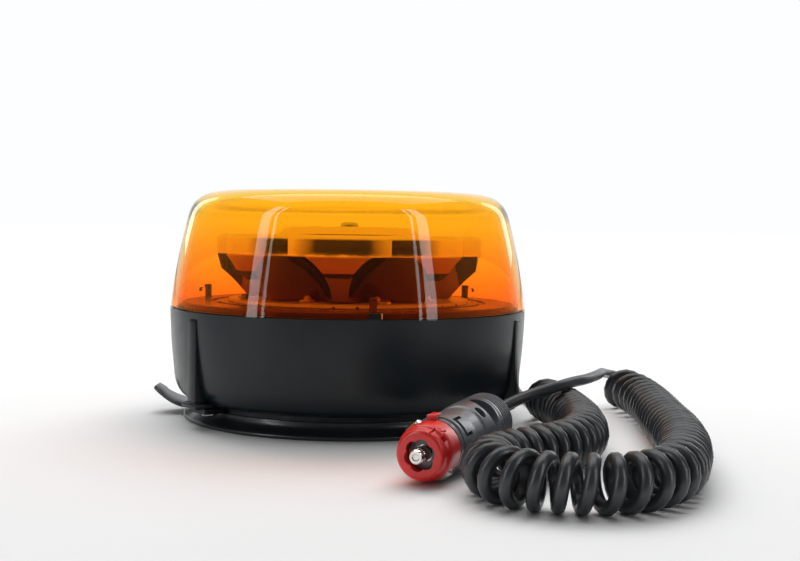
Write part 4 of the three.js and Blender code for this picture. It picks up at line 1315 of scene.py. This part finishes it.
# --------------------------------------------------------------------------- plug
@dataclass
class SocketPlug:
    """The vehicle socket plug, drawn along +Z with its front face at zero and its rear below."""

    shop: Workshop
    length: float = 73
    sleeve_length: float = 14.5
    nose_radius: float = 5.6
    nose_setback: float = 4.5
    barrel_radius: float = 10.8
    barrel_rear_radius: float = 11.4
    cap_length: float = 14
    cap_grooves: int = 6
    gap: float = 0.3
    bore: float = 2.65
    feature_azimuth: float = 42
    contact_azimuth: float = 127
    lug_azimuth: float = 92
    mouth_radius: float = 4.75
    names: list[str] = field(default_factory=list)

    def laid(self, shape: Shape) -> Shape:
        """Lays a shape where the plug lies."""
        joint = next(row for row in frame["joints"] if row["name"] == "adapter_turn")
        ahead = Vector(joint["axis"]).normalized()
        side = Z_AXIS.cross(ahead).normalized()
        turn = Matrix((side, ahead.cross(side), ahead)).transposed().to_4x4()
        return shape.moved(Matrix.Translation(Vector(joint["pos_m"]) / MM) @ turn)

    def keep(self, shape: Shape, name: str, node: str, crease: float = 30) -> bpy.types.Object:
        """Lays, finishes and fits one plug piece."""
        piece = self.shop.fit(self.laid(shape).object(name, crease), node)
        self.names.append(piece.name)
        return piece

    def patch(self, radius: float, depth: float, width: float, rear: float, front: float,
              azimuth: float, edge: float = 0.15) -> Shape:
        """Makes a small block that sinks `depth` into a round wall."""
        tool = Shape.block((radius - depth, -width / 2, rear), (radius + 2, width / 2, front), edge)
        return tool.set_out(azimuth=azimuth)

    def eye(self, radius: float, depth: float, half_width: float, half_length: float, middle: float,
            azimuth: float, point: float) -> Shape:
        """Makes an eye-shaped tool that lies across a round wall; `point` sharpens its ends."""
        outline = []
        for step in range(32):
            angle = TURN * step / 32
            sharp = abs(math.sin(angle)) ** point * math.copysign(1, math.sin(angle))
            outline.append((half_length * sharp, half_width * math.cos(angle)))
        tool = Shape.prism(outline, radius - depth, radius + 3).tipped()
        return tool.set_out(z=middle, azimuth=azimuth)

    def build_body(self) -> None:
        """Builds the barrel with its nose, bands, bracket-shaped slot and two openings."""
        front = -self.sleeve_length - self.gap
        rear = -self.length + self.cap_length + self.gap
        nose, nose_end = self.nose_radius, -self.nose_setback
        wide, rear_wide = self.barrel_radius, self.barrel_rear_radius
        spigot = -self.length + 2.3
        body = Shape.turned(rounded([
            (3.1, nose_end, 0), (nose, nose_end, 0.15), (nose, front, 0), (wide - 0.6, front, 0.4),
            (wide - 0.6, front - 3.1, 0), (wide, front - 3.5, 0.3), (wide, front - 16, 0.2),
            (wide - 0.45, front - 16.6, 0), (wide - 0.3, front - 25.4, 0), (wide + 0.25, front - 26.3, 0.3),
            (rear_wide, rear + 10, 1), (rear_wide, rear, 0.4), (8.3, rear, 0), (8.3, spigot, 0.3),
            (self.bore, spigot, 0), (self.bore, -60, 0), (4.6, -60, 0), (4.6, nose_end - 1, 0),
            (3.1, nose_end - 1, 0)], 3), 72)
        turn = self.feature_azimuth
        slots = [self.patch(wide, 1.5, 7.6, front - 7.6, front - 5.2, turn),
                 self.patch(wide, 1.4, 1.3, front - 12.6, front - 5.6, turn - 19),
                 self.patch(wide, 1.4, 1.3, front - 12.6, front - 5.6, turn + 19),
                 self.eye(rear_wide, 2.4, 2.6, 2.4, front - 29.8, turn + 8, 0.9),
                 self.eye(rear_wide, 3.8, 7.4, 4.3, front - 38.3, turn + 8, 1.0)]
        nicks = [self.patch(nose - 1.2, 0.5, 0.5, nose_end - 0.4, nose_end + 1, turn + further, 0)
                 for further in (0, 40)]
        body.minus(*slots, *nicks)
        self.keep(body, "barrel", "plug_body")

    def build_cap(self) -> None:
        """Builds the rear cap with grip grooves and a short sleeve for the cord."""
        rear = -self.length
        front, wide = rear + self.cap_length, self.barrel_rear_radius
        wall = [(wide, front, 0.3)]
        for groove in range(self.cap_grooves):
            start = front - 2.6 - 1.75 * groove
            wall += [(wide, start, 0.15), (wide - 0.9, start - 0.3, 0.1),
                     (wide - 0.9, start - 0.85, 0.1), (wide, start - 1.15, 0.15)]
        profile = rounded([
            (8.6, front, 0), *wall, (wide, rear + 0.8, 0.5), (wide - 0.8, rear, 0.5), (5.2, rear, 0.3),
            (5.0, rear + 0.5, 0.2), (self.bore, rear + 0.5, 0), (self.bore, rear + 2, 0),
            (8.6, rear + 2, 0)], 3)
        self.keep(Shape.turned(profile, 72), "grip_cap", "plug_cap")

    def build_sleeve(self) -> None:
        """Builds the red collar: star-shaped mouth, contact windows, a lock lug and small cut lines."""
        rear = -self.sleeve_length
        collar = Shape.turned(rounded([
            (4.1, -1.3, 0), (4.1, 0, 0.2), (7.7, 0, 0.2), (8.2, -0.25, 0.2), (8.9, -0.9, 0.7),
            (9.0, -3.4, 0.4), (9.9, -4.3, 0.4), (10.2, -6.2, 0.5), (10.2, rear + 0.4, 0.4),
            (9.9, rear, 0.3), (5.9, rear, 0), (5.9, -1.3, 0)], 3), 96)
        star = []
        for step in range(144):
            angle = TURN * step / 144
            reach = self.mouth_radius + abs(math.cos(3 * angle)) ** 0.7
            star.append((reach * math.cos(angle + 0.3), reach * math.sin(angle + 0.3)))
        mouth = Shape.prism(star, -3, 2)
        lug_rise = self.barrel_radius + self.gap
        lug = Shape.block((lug_rise, -1.6, rear - 4.0), (lug_rise + 1.1, 1.6, rear + 2), 0.45, 3)
        root = Shape.block((8.4, -1.8, rear), (lug_rise + 1, 1.8, rear + 2), 0.2)
        windows = [self.patch(9.2, 3.6, 5.6, rear + 0.7, rear + 7.8, self.contact_azimuth + turn, 0.2)
                   for turn in (0, 180)]
        marks = [self.patch(9.0, 0.6, 0.7, -4.6, -0.4, 66, 0.05),
                 self.patch(9.4, 1.1, 2.0, -5.0, -2.8, 38, 0.1),
                 self.patch(10.1, 0.5, 0.7, -8.4, -4.2, 50, 0.05),
                 self.patch(9.0, 0.5, 0.6, -1.6, 0.5, 152, 0.05)]
        collar.plus(*[part.set_out(azimuth=self.lug_azimuth) for part in (lug, root)])
        collar.minus(mouth, *windows, *marks)
        self.keep(collar, "collar", "adapter_sleeve")

    def build_contacts(self) -> None:
        """Builds the two bowed side contacts."""
        rear = -self.sleeve_length + 1
        for turn, side, node in ((0, "a", "contact_left"), (180, "b", "contact_right")):
            strip = Shape.prism(rounded([
                (7.6, rear, 0), (10.4, rear, 0.8), (11.3, rear + 2.2, 1.8), (11.2, rear + 4.4, 1.8),
                (9.9, rear + 6.5, 1), (7.6, rear + 6.5, 0)], 4), -2.5, 2.5)
            strip.stood_up().bevelled(0.35, 2, 0.6)
            self.keep(strip.set_out(azimuth=self.contact_azimuth + turn), f"side_contact_{side}", node)

    def build_tip(self) -> None:
        """Builds the sprung tip contact: collar, stem, a turned groove and a domed end."""
        back = -self.nose_setback - 1.3
        tip = Shape.turned([(0, back - 2), *rounded([
            (3.9, back - 2, 0.2), (3.9, back, 0.2), (2.75, back, 0), (2.75, 0.9, 0.1), (2.5, 1.1, 0.1),
            (2.5, 1.5, 0.1), (2.8, 1.7, 0.15), (2.8, 2.6, 0.6), (2.2, 3.5, 0.6)], 4, False),
            (1.3, 3.5), (1.0, 3.2), (0, 3.1)], 56)
        self.keep(tip, "tip", "tip_contact")

    def build(self) -> list[str]:
        """Builds the plug.

        Returns:
            The names of its pieces, with the frame nodes that stay inside it.
        """
        self.build_body()
        self.build_cap()
        self.build_sleeve()
        self.build_contacts()
        self.build_tip()
        return [*self.names, "plug_fuse", "tip_spring"]


def main() -> None:
    """Builds the studio, the cord and each sub-assembly, in order."""
    logging.basicConfig(level=logging.INFO, format="%(name)s: %(message)s")
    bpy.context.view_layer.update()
    shop = Workshop()
    studio = Studio()
    studio.build_camera()
    plug_pieces = SocketPlug(shop).build()
    CurlyCord(shop).build(plug_pieces)
    studio.build()
    Dome(shop).build()
    Base(shop).build()
    MagneticFoot(shop).build()
    LightHead(shop).build()
    shop.dress_carried_over()


if __name__ == "__main__":
    main()
